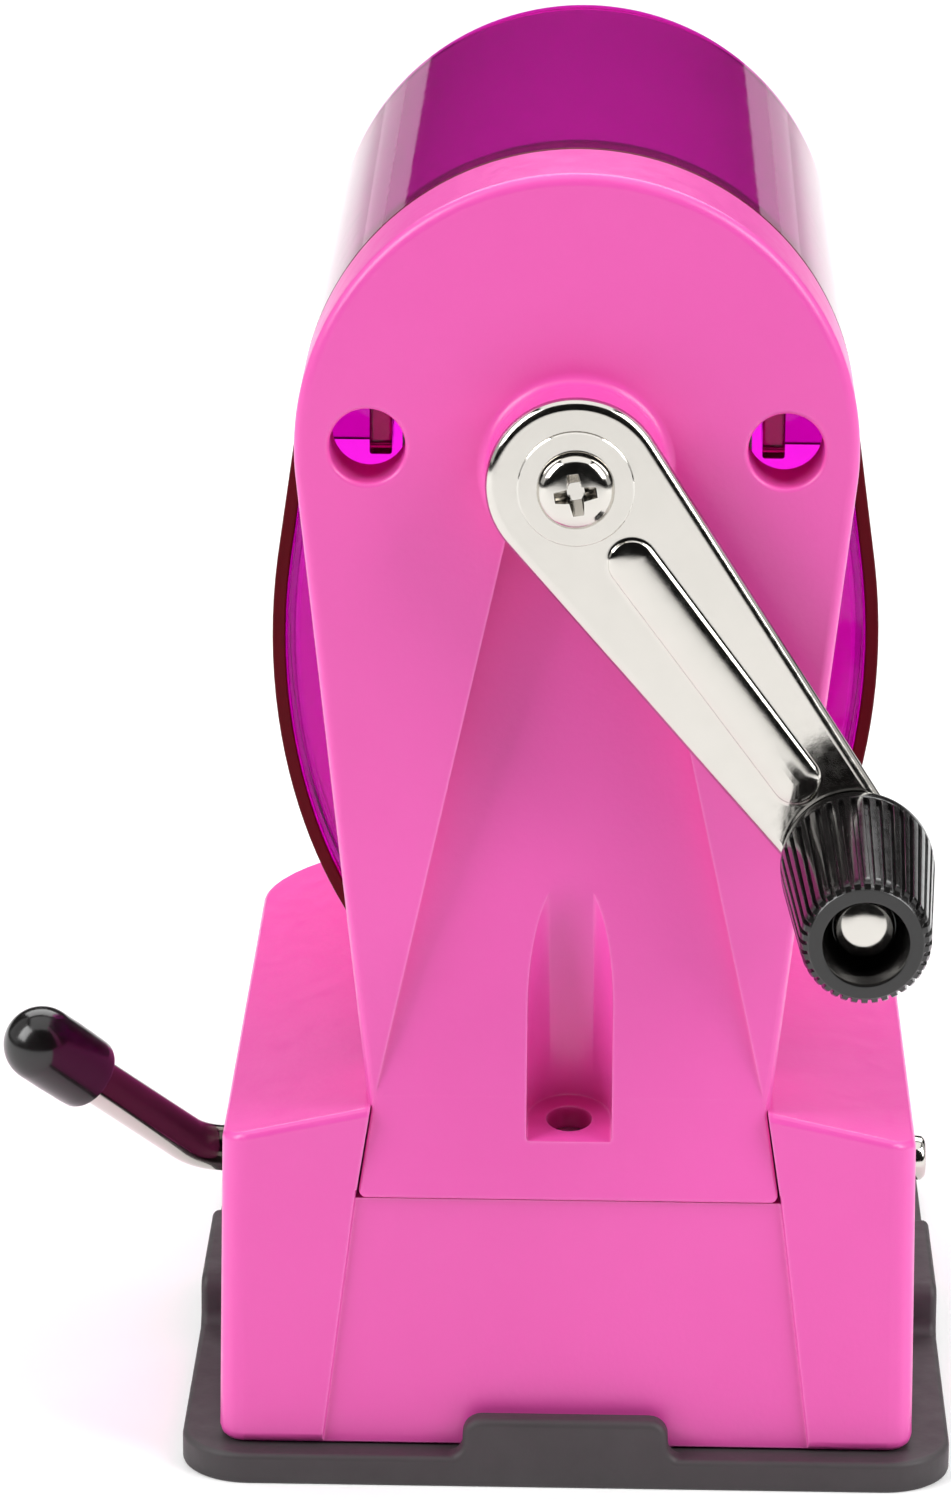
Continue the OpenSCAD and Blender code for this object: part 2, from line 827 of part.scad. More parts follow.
module lift_stem() {
    inner = cam_r + window_gap;
    color(nickel) difference() {
        union() {
            translate([-yoke_w / 2, -yoke_y, cam_z - inner - yoke_h])
                cube([yoke_w, 2 * yoke_y, 2 * (inner + yoke_h)]);
            translate([0, 0, lift_plate_z]) cylinder(r = stem_r, h = cam_z - inner - lift_plate_z - 1);
        }
        translate([-yoke_w, -window_y, cam_z - inner]) cube([2 * yoke_w, 2 * window_y, 2 * inner]);
    }
}

module lift_plate() {
    color(steel) difference() {
        translate([0, 0, lift_plate_z]) cylinder(r = lift_plate_r, h = lift_plate_t);
        translate([0, 0, lift_plate_z - 1]) cylinder(r = stem_r, h = lift_plate_t + 2);
    }
}

module suction_diaphragm() {
    color(rubber) translate([0, 0, diaphragm_z]) cylinder(r = diaphragm_r, h = lift_plate_z - diaphragm_z);
}

suction_pad();
base_shell();
base_plate();
base_plate_screws();
support_column();
column_screw();
shaft_bush();
cutter_frame();
cutter_frame_screws();
ring_gear();
stem_guide();
drive_shaft();
shaft_clip();
cutter_carrier();
cutter_axles();
crank_arm();
crank_washer();
crank_screw();
knob_pin();
crank_knob();
cutter_a();
pinion_a();
cutter_b();
pinion_b();
receptacle_drum();
receptacle_back();
pencil_guide();
dial_rivet();
dial_washer();
selector_dial();
lever_rod();
lever_cap();
lever_clips();
lever_cam();
cam_pin();
lift_stem();
lift_plate();
suction_diaphragm();
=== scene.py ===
"""Looks of the hand-crank pencil sharpener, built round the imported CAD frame."""

import json
import math
from math import atan2, cos, pi, radians, sin, sqrt, tan

import bmesh
import bpy
from mathutils import Matrix, Vector


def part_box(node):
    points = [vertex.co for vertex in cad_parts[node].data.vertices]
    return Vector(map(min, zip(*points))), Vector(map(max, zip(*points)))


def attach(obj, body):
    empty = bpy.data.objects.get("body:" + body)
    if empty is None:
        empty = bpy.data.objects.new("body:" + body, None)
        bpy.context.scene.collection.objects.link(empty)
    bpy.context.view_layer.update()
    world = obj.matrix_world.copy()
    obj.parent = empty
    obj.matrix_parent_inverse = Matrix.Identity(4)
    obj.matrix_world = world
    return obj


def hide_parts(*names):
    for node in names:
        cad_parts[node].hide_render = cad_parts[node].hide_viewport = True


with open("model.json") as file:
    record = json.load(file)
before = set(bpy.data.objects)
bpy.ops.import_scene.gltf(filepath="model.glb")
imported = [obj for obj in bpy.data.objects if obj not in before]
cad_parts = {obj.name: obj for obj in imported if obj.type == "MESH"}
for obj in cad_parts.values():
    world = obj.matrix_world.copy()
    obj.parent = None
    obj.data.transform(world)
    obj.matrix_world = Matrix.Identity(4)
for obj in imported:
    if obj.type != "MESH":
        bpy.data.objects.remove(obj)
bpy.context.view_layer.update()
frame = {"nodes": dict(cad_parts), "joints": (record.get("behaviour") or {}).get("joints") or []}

# Mesh code below works in millimetres, and new_piece() turns its result into metres.
MM = 0.001


# ---- Dimensions, from the frame ----

def box(node):
    """Lowest and highest corner of a CAD node, in millimetres."""
    low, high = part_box(node)
    return low / MM, high / MM


def joint(name):
    """The record's joint of that name."""
    return next(j for j in frame["joints"] if j["name"] == name)


column_low, column_high = box("support_column")
drum_low, drum_high = box("receptacle_drum")
panel_low = box("receptacle_back")[0]
shell_low, shell_high = box("base_shell")
arm_low, arm_high = box("crank_arm")
washer_low, washer_high = box("crank_washer")
knob_low, knob_high = box("crank_knob")
rod_high = box("lever_rod")[1]
dial_low, dial_high = box("selector_dial")
guide_low, guide_high = box("pencil_guide")

axis_z = joint("crank_turn")["pos_m"][2] / MM
knob_x = joint("knob_spin")["pos_m"][0] / MM
knob_z = joint("knob_spin")["pos_m"][2] / MM
dial_z = joint("dial_turn")["pos_m"][2] / MM
lever_z = joint("lever_turn")["pos_m"][2] / MM
crank_len = sqrt(knob_x ** 2 + (axis_z - knob_z) ** 2)
crank_rest = atan2(axis_z - knob_z, knob_x)

head_r = column_high.x
head_z = column_high.z - head_r
column_rim = 3.0
waist_x = 22.0
waist_z = 46.0
egg_a = drum_high.x
egg_z = 96.2
egg_b = egg_z - drum_low.z
drum_wall = 1.5


# ---- Mesh helpers ----

def strip(bm, loops, closed=True):
    """Faces between loops that have the same number of points. Returns the loops' vertices."""
    rings = [[bm.verts.new(p) for p in loop] for loop in loops]
    for a, b in zip(rings, rings[1:]):
        for i in range(len(a) if closed else len(a) - 1):
            j = (i + 1) % len(a)
            bm.faces.new((a[i], a[j], b[j], b[i]))
    return rings


def fill(bm, rings, normal):
    """Fills the flat area between closed rings: the first is the outline, the others are holes."""
    edges = []
    for ring in rings:
        for a, b in zip(ring, ring[1:] + ring[:1]):
            edges.append(bm.edges.get((a, b)) or bm.edges.new((a, b)))
    bmesh.ops.triangle_fill(bm, edges=edges, use_beauty=True, use_dissolve=False, normal=normal)


def circle(r, n=64, x=0.0, y=0.0):
    return [(x + r * cos(2 * pi * i / n), y + r * sin(2 * pi * i / n)) for i in range(n)]


def lathe(profile, n=64, matrix=Matrix.Identity(4)):
    """A solid turned about local +Z from (radius, height) points, in its final place."""
    bm = bmesh.new()
    rings = strip(bm, [[matrix @ Vector((x, y, h)) for x, y in circle(r, n)] for r, h in profile])
    for ring, (r, _) in ((rings[0], profile[0]), (rings[-1], profile[-1])):
        if r > 0:
            bm.faces.new(ring)
    bmesh.ops.remove_doubles(bm, verts=bm.verts, dist=1e-4)
    return bm


def toward_crank(x, y, z):
    """Local +Z runs along -Y, local +Y along +Z."""
    return Matrix.Translation((x, y, z)) @ Matrix.Rotation(radians(90), 4, "X")


def toward_pencil(x, y, z):
    """Local +Z runs along +Y, local +Y along +Z."""
    return toward_crank(x, y, z) @ Matrix.Rotation(pi, 4, "Y")


def along_axis(name):
    """Local +Z runs along a joint's axis, from its point."""
    j = joint(name)
    turn = Vector((0, 0, 1)).rotation_difference(Vector(j["axis"])).to_matrix().to_4x4()
    return Matrix.Translation(Vector(j["pos_m"]) / MM) @ turn


def loose(bm, name="tool"):
    """A mesh object made from bm and linked to the scene."""
    mesh = bpy.data.meshes.new(name)
    bmesh.ops.recalc_face_normals(bm, faces=bm.faces)
    bm.to_mesh(mesh)
    bm.free()
    piece = bpy.data.objects.new(name, mesh)
    bpy.context.scene.collection.objects.link(piece)
    return piece


def boolean(bm, tool, operation):
    """bm united with or cut by the closed shape tool."""
    body = loose(bm)
    knife = loose(tool)
    modifier = body.modifiers.new("cut", "BOOLEAN")
    modifier.operation = operation
    modifier.solver = "EXACT"
    modifier.object = knife
    graph = bpy.context.evaluated_depsgraph_get()
    mesh = bpy.data.meshes.new_from_object(body.evaluated_get(graph))
    made = bmesh.new()
    made.from_mesh(mesh)
    for piece in (body, knife):
        bpy.data.objects.remove(piece)
    return made


def smooth_normals(piece, angle=35):
    """Smooth shading that keeps creases sharper than angle, with flat faces kept flat."""
    piece.data.shade_smooth()
    piece.data.set_sharp_from_angle(angle=radians(angle))
    weighted = piece.modifiers.new("normals", "WEIGHTED_NORMAL")
    weighted.keep_sharp = True


def flat_normals(piece, angle):
    """Smooth shading in which every flat area, however it is cut up, keeps its own normal to its rim."""
    mesh = piece.data
    mesh.shade_smooth()
    mesh.set_sharp_from_angle(angle=radians(angle))
    bm = bmesh.new()
    bm.from_mesh(mesh)
    area_of = {}
    for face in bm.faces:
        if face in area_of:
            continue
        area_of[face] = None
        flat = [face]
        for known in flat:
            for edge in known.edges:
                for other in edge.link_faces:
                    if other not in area_of and other.normal.angle(known.normal, 1) < 0.002:
                        area_of[other] = None
                        flat.append(other)
        whole = sum(f.calc_area() for f in flat)
        for known in flat:
            area_of[known] = whole
    limit = radians(angle)
    normals = []
    for face in bm.faces:
        for loop in face.loops:
            fan = [face]
            for known in fan:
                for edge in known.edges:
                    if loop.vert in edge.verts:
                        for other in edge.link_faces:
                            if other not in fan and other.normal.angle(known.normal, 9) < limit:
                                fan.append(other)
            total = Vector()
            for known in fan:
                total += known.normal * area_of[known]
            normals.append(total.normalized())
    bm.free()
    mesh.normals_split_custom_set(normals)


def round_edges(piece, width, segments=3):
    """Rounds creases by width, in millimetres."""
    bevel = piece.modifiers.new("rounding", "BEVEL")
    bevel.width = width * MM
    bevel.segments = segments
    bevel.limit_method = "ANGLE"
    bevel.angle_limit = radians(28)


def new_piece(name, bm, body, slot, material, *replaced, rounding=0.0, angle=35):
    """Turns bm, in millimetres, into a finished piece that rides on a CAD body."""
    bmesh.ops.scale(bm, vec=(MM, MM, MM), verts=bm.verts)
    piece = loose(bm, name)
    piece.data.materials.append(material)
    if rounding:
        round_edges(piece, rounding)
        smooth_normals(piece, angle)
    else:
        flat_normals(piece, angle)
    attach(piece, body)
    if replaced:
        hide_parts(*replaced)
    return piece


# ---- Material helpers ----

class Look:
    """A node material under construction, with one Principled shader."""

    def __init__(self, name, roughness=0.4, metallic=0.0, ior=1.5, **extra):
        self.material = bpy.data.materials.new(name)
        self.material.use_nodes = True
        self.tree = self.material.node_tree
        self.shader = self.tree.nodes["Principled BSDF"]
        self.set("Roughness", roughness)
        self.set("Metallic", metallic)
        self.set("IOR", ior)
        for socket, value in extra.items():
            self.set(socket.replace("_", " ").title(), value)
        self.place = self.add("ShaderNodeTexCoord").outputs["Object"]
        self.bumps = None

    def add(self, kind, **inputs):
        node = self.tree.nodes.new(kind)
        for name, value in inputs.items():
            socket = node.inputs[name.replace("_", " ")]
            if isinstance(value, bpy.types.NodeSocket):
                self.tree.links.new(value, socket)
            else:
                socket.default_value = value
        return node

    def set(self, socket, value):
        if isinstance(value, bpy.types.NodeSocket):
            self.tree.links.new(value, self.shader.inputs[socket])
        else:
            self.shader.inputs[socket].default_value = value

    def stretched(self, x=1.0, y=1.0, z=1.0):
        """The place on the object, with each axis scaled."""
        return self.add("ShaderNodeMapping", Vector=self.place, Scale=(x, y, z)).outputs["Vector"]

    def noise(self, size, detail=3.0, roughness=0.55, place=None):
        """Noise whose grains are about size millimetres across."""
        node = self.add("ShaderNodeTexNoise", Vector=place or self.place, Scale=1 / (size * MM),
                        Detail=detail, Roughness=roughness)
        return node.outputs["Fac"]

    def cells(self, size):
        """Distance to the nearest of scattered points about size millimetres apart."""
        node = self.add("ShaderNodeTexVoronoi", Vector=self.place, Scale=1 / (size * MM))
        return node.outputs["Distance"]

    def span(self, value, low, high, from_low=0.3, from_high=0.7):
        """value mapped to the range from low to high."""
        node = self.add("ShaderNodeMapRange", Value=value, From_Min=from_low, From_Max=from_high,
                        To_Min=low, To_Max=high)
        return node.outputs["Result"]

    def blend(self, factor, first, second):
        """A colour that goes from first to second with factor."""
        node = self.tree.nodes.new("ShaderNodeMix")
        node.data_type = "RGBA"
        for index, value in ((0, factor), (6, first), (7, second)):
            if isinstance(value, bpy.types.NodeSocket):
                self.tree.links.new(value, node.inputs[index])
            else:
                node.inputs[index].default_value = value if index == 0 else (*value, 1)
        return node.outputs[2]

    def edges(self, reach=0.5):
        """0 on flats and up to 1 within reach millimetres of an edge."""
        rounded = self.add("ShaderNodeBevel", Radius=reach * MM)
        rounded.samples = 2
        straight = self.add("ShaderNodeNewGeometry").outputs["Normal"]
        likeness = self.tree.nodes.new("ShaderNodeVectorMath")
        likeness.operation = "DOT_PRODUCT"
        self.tree.links.new(rounded.outputs["Normal"], likeness.inputs[0])
        self.tree.links.new(straight, likeness.inputs[1])
        return self.span(likeness.outputs["Value"], 1.0, 0.0, 0.75, 0.98)

    def bump(self, height, strength, depth):
        """Adds relief of depth millimetres to the surface."""
        node = self.add("ShaderNodeBump", Height=height, Strength=strength, Distance=depth * MM)
        if self.bumps is not None:
            self.tree.links.new(self.bumps, node.inputs["Normal"])
        self.bumps = node.outputs["Normal"]
        self.set("Normal", self.bumps)

    def colour(self, first, second, factor, worn=None, wear=None):
        """Colour that varies between two, and towards worn on edges."""
        shown = self.blend(factor, first, second)
        if worn is not None:
            shown = self.blend(wear, shown, worn)
        self.set("Base Color", shown)


# ---- Materials ----

def pink_plastic():
    look = Look("pink_plastic", ior=1.5, coat_weight=0.12, coat_roughness=0.18)
    drift = look.noise(18, 2)
    look.colour((0.800, 0.084, 0.425), (0.830, 0.096, 0.452), drift,
                worn=(0.90, 0.24, 0.58), wear=look.edges())
    look.set("Roughness", look.span(look.noise(2.2, 4), 0.29, 0.38))
    look.bump(look.noise(2.6, 2), 0.35, 0.045)
    look.bump(look.noise(0.7, 2), 0.60, 0.032)
    return look.material


def pad_rubber():
    look = Look("pad_rubber", ior=1.5)
    look.colour((0.034, 0.029, 0.031), (0.052, 0.045, 0.048), look.noise(9, 4),
                worn=(0.105, 0.095, 0.10), wear=look.edges())
    look.set("Roughness", look.span(look.noise(3.0, 4), 0.48, 0.64))
    look.bump(look.noise(0.45, 3), 0.4, 0.03)
    look.bump(look.cells(0.9), 0.2, 0.03)
    return look.material


def nickel_plate():
    look = Look("nickel_plate", metallic=1.0)
    look.colour((0.63, 0.605, 0.565), (0.58, 0.56, 0.52), look.noise(4, 4),
                worn=(0.72, 0.70, 0.665), wear=look.edges(0.25))
    look.set("Roughness", look.span(look.noise(1.1, 5), 0.07, 0.16))
    look.bump(look.noise(0.5, 3, 0.6), 0.5, 0.006)
    look.bump(look.noise(2.4, 3), 0.4, 0.020)
    return look.material


def nickel_painted_reflection():
    """The lever's plating with a painted reflection: colour painted dark on its upper side, and left bright
    underneath and on the end that shows at +X.
    """
    look = Look("nickel_painted_reflection", metallic=1.0)
    normal = look.add("ShaderNodeTexCoord").outputs["Normal"]
    facing = look.add("ShaderNodeSeparateXYZ", Vector=normal).outputs["Z"]
    across = look.add("ShaderNodeSeparateXYZ", Vector=look.place).outputs["X"]
    end = 38 * MM
    # painted reflection: faces that don't point down, short of the +X end, take a dark colour in place of
    # the dark surroundings they would mirror
    dark = look.span(facing, 0.0, look.span(across, 1.0, 0.0, end, end + MM), -0.42, -0.30)
    bright = look.blend(look.noise(4, 4), (0.63, 0.605, 0.565), (0.58, 0.56, 0.52))
    look.set("Base Color", look.blend(dark, bright, (0.075, 0.066, 0.055)))
    look.set("Roughness", look.span(look.noise(1.1, 5), 0.07, 0.16))
    look.bump(look.noise(2.4, 3), 0.4, 0.020)
    return look.material


def turned_steel(name, colour, rough):
    """Plain steel with fine turning or rolling lines along X and Y."""
    look = Look(name, metallic=1.0)
    darker = tuple(0.78 * c for c in colour)
    lines = look.noise(0.5, 4, 0.6, look.stretched(0.15, 1.0, 0.4))
    look.colour(colour, darker, look.noise(3, 4), worn=tuple(min(1, 1.3 * c) for c in colour),
                wear=look.edges())
    look.set("Roughness", look.span(lines, rough, rough + 0.18))
    look.bump(lines, 0.4, 0.010)
    return look.material


def cast_metal():
    look = Look("cast_metal", metallic=0.85)
    look.colour((0.15, 0.15, 0.16), (0.22, 0.22, 0.23), look.noise(2.5, 5),
                worn=(0.42, 0.42, 0.43), wear=look.edges())
    look.set("Roughness", look.span(look.noise(1.4, 4), 0.42, 0.62))
    look.bump(look.noise(0.8, 4, 0.65), 0.7, 0.06)
    return look.material


def bush_bronze():
    look = Look("bush_bronze", metallic=0.9)
    look.colour((0.42, 0.26, 0.11), (0.56, 0.38, 0.17), look.noise(0.6, 4),
                worn=(0.75, 0.55, 0.28), wear=look.edges())
    look.set("Roughness", look.span(look.noise(0.8, 4), 0.36, 0.55))
    look.bump(look.cells(0.35), 0.5, 0.02)
    return look.material


def black_gloss():
    look = Look("black_gloss", coat_weight=0.20, coat_roughness=0.08)
    look.colour((0.0060, 0.0056, 0.0055), (0.010, 0.0092, 0.009), look.noise(5, 3),
                worn=(0.030, 0.028, 0.027), wear=look.edges(0.12))
    look.set("Roughness", look.span(look.noise(1.6, 4), 0.15, 0.26))
    look.bump(look.noise(0.7, 3), 0.3, 0.010)
    return look.material


def black_plastic():
    look = Look("black_plastic")
    look.colour((0.014, 0.014, 0.015), (0.022, 0.022, 0.023), look.noise(5, 3),
                worn=(0.07, 0.07, 0.072), wear=look.edges(0.15))
    look.set("Roughness", look.span(look.noise(1.4, 4), 0.38, 0.52))
    look.bump(look.cells(0.4), 0.35, 0.014)
    return look.material


def clear_purple(name, first, second, milk, density):
    """Clear tinted plastic. Its surface scatters a share, milk, and it darkens with depth by density."""
    look = Look(name, ior=1.25, transmission_weight=1.0 - milk)
    look.colour(first, second, look.noise(14, 3))
    absorb = look.add("ShaderNodeVolumeAbsorption", Color=(0.975, 0.0, 0.905, 1), Density=density)
    look.tree.links.new(absorb.outputs[0], look.tree.nodes["Material Output"].inputs["Volume"])
    look.set("Roughness", look.span(look.noise(3.5, 4), 0.015, 0.05))
    look.bump(look.noise(5.0, 2), 0.25, 0.030)
    nodes = look.tree.nodes
    through = look.add("ShaderNodeBsdfTransparent", Color=(0.97, 0.80, 0.96, 1))
    shadow = nodes.new("ShaderNodeLightPath").outputs["Is Shadow Ray"]
    mix = nodes.new("ShaderNodeMixShader")
    look.tree.links.new(shadow, mix.inputs[0])
    look.tree.links.new(look.shader.outputs[0], mix.inputs[1])
    look.tree.links.new(through.outputs[0], mix.inputs[2])
    look.tree.links.new(mix.outputs[0], nodes["Material Output"].inputs["Surface"])
    return look.material


def cut_edge():
    """The clear plastic seen through its cut edge: dark, with a red cast."""
    look = Look("purple_edge", roughness=0.45, ior=1.2)
    look.colour((0.080, 0.0005, 0.004), (0.110, 0.001, 0.008), look.noise(6, 3))
    look.bump(look.noise(3.0, 2), 0.25, 0.020)
    return look.material


PINK = pink_plastic()
RUBBER = pad_rubber()
NICKEL = nickel_plate()
# nickel with a painted reflection: dark painted on the upper side, bright underneath
NICKEL_PAINTED_REFLECTION = nickel_painted_reflection()
STEEL = turned_steel("plain_steel", (0.50, 0.50, 0.51), 0.29)
CUTTER = turned_steel("cutter_steel", (0.34, 0.34, 0.36), 0.29)
CAST = cast_metal()
BRONZE = bush_bronze()
GLOSS = black_gloss()
BLACK = black_plastic()
EDGE_PURPLE = cut_edge()
PURPLE = clear_purple("purple_clear", (0.78, 0.30, 0.84), (0.82, 0.36, 0.88), 0.03, 2300.0)
# painted shade: the panel is the same plastic as the drum, given a darker tint and denser absorption to
# stand in for the shade it lies in
PURPLE_PANEL_PAINTED_SHADE = clear_purple("purple_panel_painted_shade", (0.66, 0.16, 0.70), (0.70, 0.20, 0.74), 0.03, 2600.0)


# ---- Column and base ----

def column_side():
    """The column's straight sides: their angle from upright, tangent to the round head."""
    reach = sqrt(waist_x ** 2 + (head_z - waist_z) ** 2)
    return atan2(waist_x, head_z - waist_z) - math.asin(head_r / reach)


def column_outline(g, z0, n=96):
    """The column's outline drawn in by g: a trapezoid from height z0 that runs into the round head."""
    side = column_side()
    r = head_r - g
    foot = waist_x - g / cos(side) + (z0 - waist_z) * tan(side)
    points = [(-foot, z0), (foot, z0)]
    for i in range(n + 1):
        a = side + (pi - 2 * side) * i / n
        points.append((r * cos(a), head_z + r * sin(a)))
    return points


def rounded_polygon(corners, radii, g=0.0, n=6):
    """A convex anticlockwise polygon drawn in by g, with each corner rounded to its own radius."""
    points = []
    count = len(corners)
    for i, (corner, radius) in enumerate(zip(corners, radii)):
        here = Vector(corner)
        before = (Vector(corners[i - 1]) - here).normalized()
        after = (Vector(corners[(i + 1) % count]) - here).normalized()
        half = before.angle(after) / 2
        middle = (before + after).normalized()
        r = max(radius - g, 0.02)
        centre = here + middle * ((g + r) / sin(half))
        turn = pi - 2 * half
        first = Vector((-before.y, before.x))
        for k in range(n + 1):
            points.append(tuple(centre + r * (Matrix.Rotation(turn * k / n, 2) @ first)))
    return points


def prism(outline, y0, y1, front=0.0, back=0.0, steps=5):
    """A solid from depth y0 to y1 on outline(g), a list of (x, z), with its front and back edges rounded."""
    levels = []
    for i in range(steps + 1 if front else 1):
        a = pi / 2 * i / steps
        levels.append((front * (1 - sin(a)), y0 + front * (1 - cos(a))))
    for i in range(steps + 1 if back else 1):
        a = pi / 2 * i / steps
        levels.append((back * (1 - cos(a)), y1 - back * (1 - sin(a))))
    bm = bmesh.new()
    rings = strip(bm, [[(x, y, z) for x, z in outline(g)] for g, y in levels])
    bm.faces.new(rings[0])
    bm.faces.new(rings[-1])
    return bm


def lump(low, high):
    """A closed block between two corners."""
    bm = bmesh.new()
    bmesh.ops.create_cube(bm, size=1)
    size = Vector(high) - Vector(low)
    bmesh.ops.scale(bm, vec=size, verts=bm.verts)
    bmesh.ops.translate(bm, vec=Vector(low) + size / 2, verts=bm.verts)
    return bm


def hull(points):
    """The closed solid round a cloud of points."""
    bm = bmesh.new()
    for point in points:
        bm.verts.new(point)
    bmesh.ops.convex_hull(bm, input=bm.verts)
    stray = [v for v in bm.verts if not v.link_faces]
    bmesh.ops.delete(bm, geom=stray, context="VERTS")
    return bm


column_front = -46.8
column_wall_back = -38.3
facet_lean = radians(5.7)
foot_z = column_low.z
foot_x = 24.0
pocket_frame = Matrix.Translation((0, -42.5, 42.3)) @ Matrix.Rotation(radians(12.5), 4, "X")
pocket_r = 4.85


def facet_y(z):
    """Depth of the leaning facet at height z."""
    return shell_low.y + tan(facet_lean) * (z - foot_z)


def build_column():
    bm = prism(lambda g: column_outline(g, waist_z - 4), column_front, column_high.y, front=1.3, back=0.3)
    foot_top = waist_z + 1.5
    foot_corners = [(-foot_x, foot_z), (foot_x, foot_z), (waist_x, foot_top), (-waist_x, foot_top)]
    foot_radii = (0.9, 0.9, 0.05, 0.05)
    foot = prism(lambda g: rounded_polygon(foot_corners, foot_radii, g), shell_low.y, column_high.y,
                 front=0.4)
    for v in foot.verts:
        if v.co.y < column_front + 2:
            v.co.y += tan(facet_lean) * (v.co.z - foot_z)
    bm = boolean(bm, foot, "UNION")
    boss_r = 9.75
    fillet = 1.3
    flange = [(0, -2)] + [(boss_r + fillet + 0.3, -2), (boss_r + fillet + 0.3, -0.02)]
    flange += [(boss_r + fillet * (1 - sin(radians(a))), fillet * (1 - cos(radians(a))))
               for a in range(0, 91, 10)]
    flange += [(boss_r - 1, fillet), (0, fillet)]
    bm = boolean(bm, lathe(flange, 96, toward_crank(0, column_front, axis_z)), "UNION")
    low_z, high_z = waist_z + 0.4, 116.0
    ends = ((low_z, waist_x), (high_z, 6.8))
    recess = [(side * x, y, z) for z, x in ends for side in (-1, 1) for y in (-60, facet_y(z))]
    bm = boolean(bm, hull(recess), "DIFFERENCE")
    boss_h = column_wall_back - 1 - column_low.y
    boss = [(0, 0), (boss_r, 0), (boss_r, boss_h - 0.45), (boss_r - 0.13, boss_h - 0.13),
            (boss_r - 0.45, boss_h), (0, boss_h)]
    bm = boolean(bm, lathe(boss, 96, toward_crank(0, column_wall_back - 1, axis_z)), "UNION")
    hollow = prism(lambda g: column_outline(column_rim, 56.0), column_wall_back, column_high.y + 1)
    bm = boolean(bm, hollow, "DIFFERENCE")
    tools = [lathe([(0, -20), (5, -20), (5, 20), (0, 20)], 64, toward_crank(0, column_wall_back, axis_z))]
    eye_r, lip = 4.2, 0.55
    eye = [(0, -12), (eye_r, -12)]
    eye += [(eye_r + lip * (1 - cos(radians(a))), lip * (sin(radians(a)) - 1)) for a in range(0, 91, 15)]
    eye += [(eye_r + lip + 0.5, 0.05), (eye_r + lip + 0.5, 2), (0, 2)]
    for x in (-23, 23):
        tools.append(lathe(eye, 72, toward_crank(x, column_front, 122.3)))
    for i in range(3):
        a = radians(90 + 120 * i)
        tools.append(lathe([(0, -2), (1.3, -2), (1.3, 6), (0, 7)], 24,
                           toward_crank(13 * cos(a), column_wall_back, axis_z + 13 * sin(a))))
    for tool in tools:
        bm = boolean(bm, tool, "DIFFERENCE")
    half = [pi * i / 32 for i in range(33)]
    slot_loops = []
    for h, g in ((45, 0), (0.35, 0), (0.1, 0.1), (0, 0.35)):
        r = pocket_r - g
        loop = [(-r, -20), (r, -20)] + [(r * cos(a), r * sin(a)) for a in half]
        slot_loops.append([pocket_frame @ Vector((x, y, h)) for x, y in loop])
    slot = bmesh.new()
    rings = strip(slot, slot_loops)
    slot.faces.new(rings[0])
    slot.faces.new(rings[-1])
    bm = boolean(bm, slot, "DIFFERENCE")
    drilled = [(0, -9), (1.5, -9), (1.5, -4), (2.55, -4), (2.55, -0.25), (2.62, -0.07), (2.8, 0.02), (3, 1),
               (0, 1)]
    bm = boolean(bm, lathe(drilled, 48, pocket_frame), "DIFFERENCE")
    new_piece("column", bm, "base", "pink_plastic", PINK, "support_column", angle=32)


shell_wall = 2.5
eave_z = 41.4
ridge_x = 23.0
shell_draft = 0.5


def shell_plan(g):
    """The base's plan drawn in by g: tight corners in front and wide ones behind."""
    x, y = shell_high.x, shell_high.y
    return rounded_polygon([(-x, -y), (x, -y), (x, y), (-x, y)], (3, 3, 11, 11), g, n=8)


def roof_height(x, g):
    """Height of the base's roof at x, drawn in by g."""
    edge = shell_high.x - shell_draft - g
    low, high = eave_z - 0.85 * g, shell_high.z - g
    return high if abs(x) < ridge_x else low + (high - low) * (edge - abs(x)) / (edge - ridge_x)


def ball(centre, r, n=12):
    """Points all over a small sphere."""
    points = []
    for i in range(n // 2 + 1):
        a = pi * i / (n // 2)
        for k in range(n):
            b = 2 * pi * k / n
            points.append(Vector(centre) + r * Vector((sin(a) * cos(b), sin(a) * sin(b), cos(a))))
    return points


def shell_points(g, bottom, r_top, r_foot):
    """Points whose hull is the base's outer or inner shape: balls at its corners, drawn in by g."""
    points = []
    for x, y in shell_plan(g + r_foot):
        points += ball((x, y, bottom + r_foot), r_foot) if r_foot else [Vector((x, y, bottom))]
    inset = g + r_top
    shrink = 1 - shell_draft / shell_high.x
    tops = [(x * shrink, y) for x, y in shell_plan(inset)]
    tops += [(sx * ridge_x, sy * (shell_high.y - inset)) for sx in (-1, 1) for sy in (-1, 1)]
    for x, y in tops:
        top = (x, y, roof_height(x, inset))
        points += ball(top, r_top, 16) if r_top else [Vector(top)]
    return points


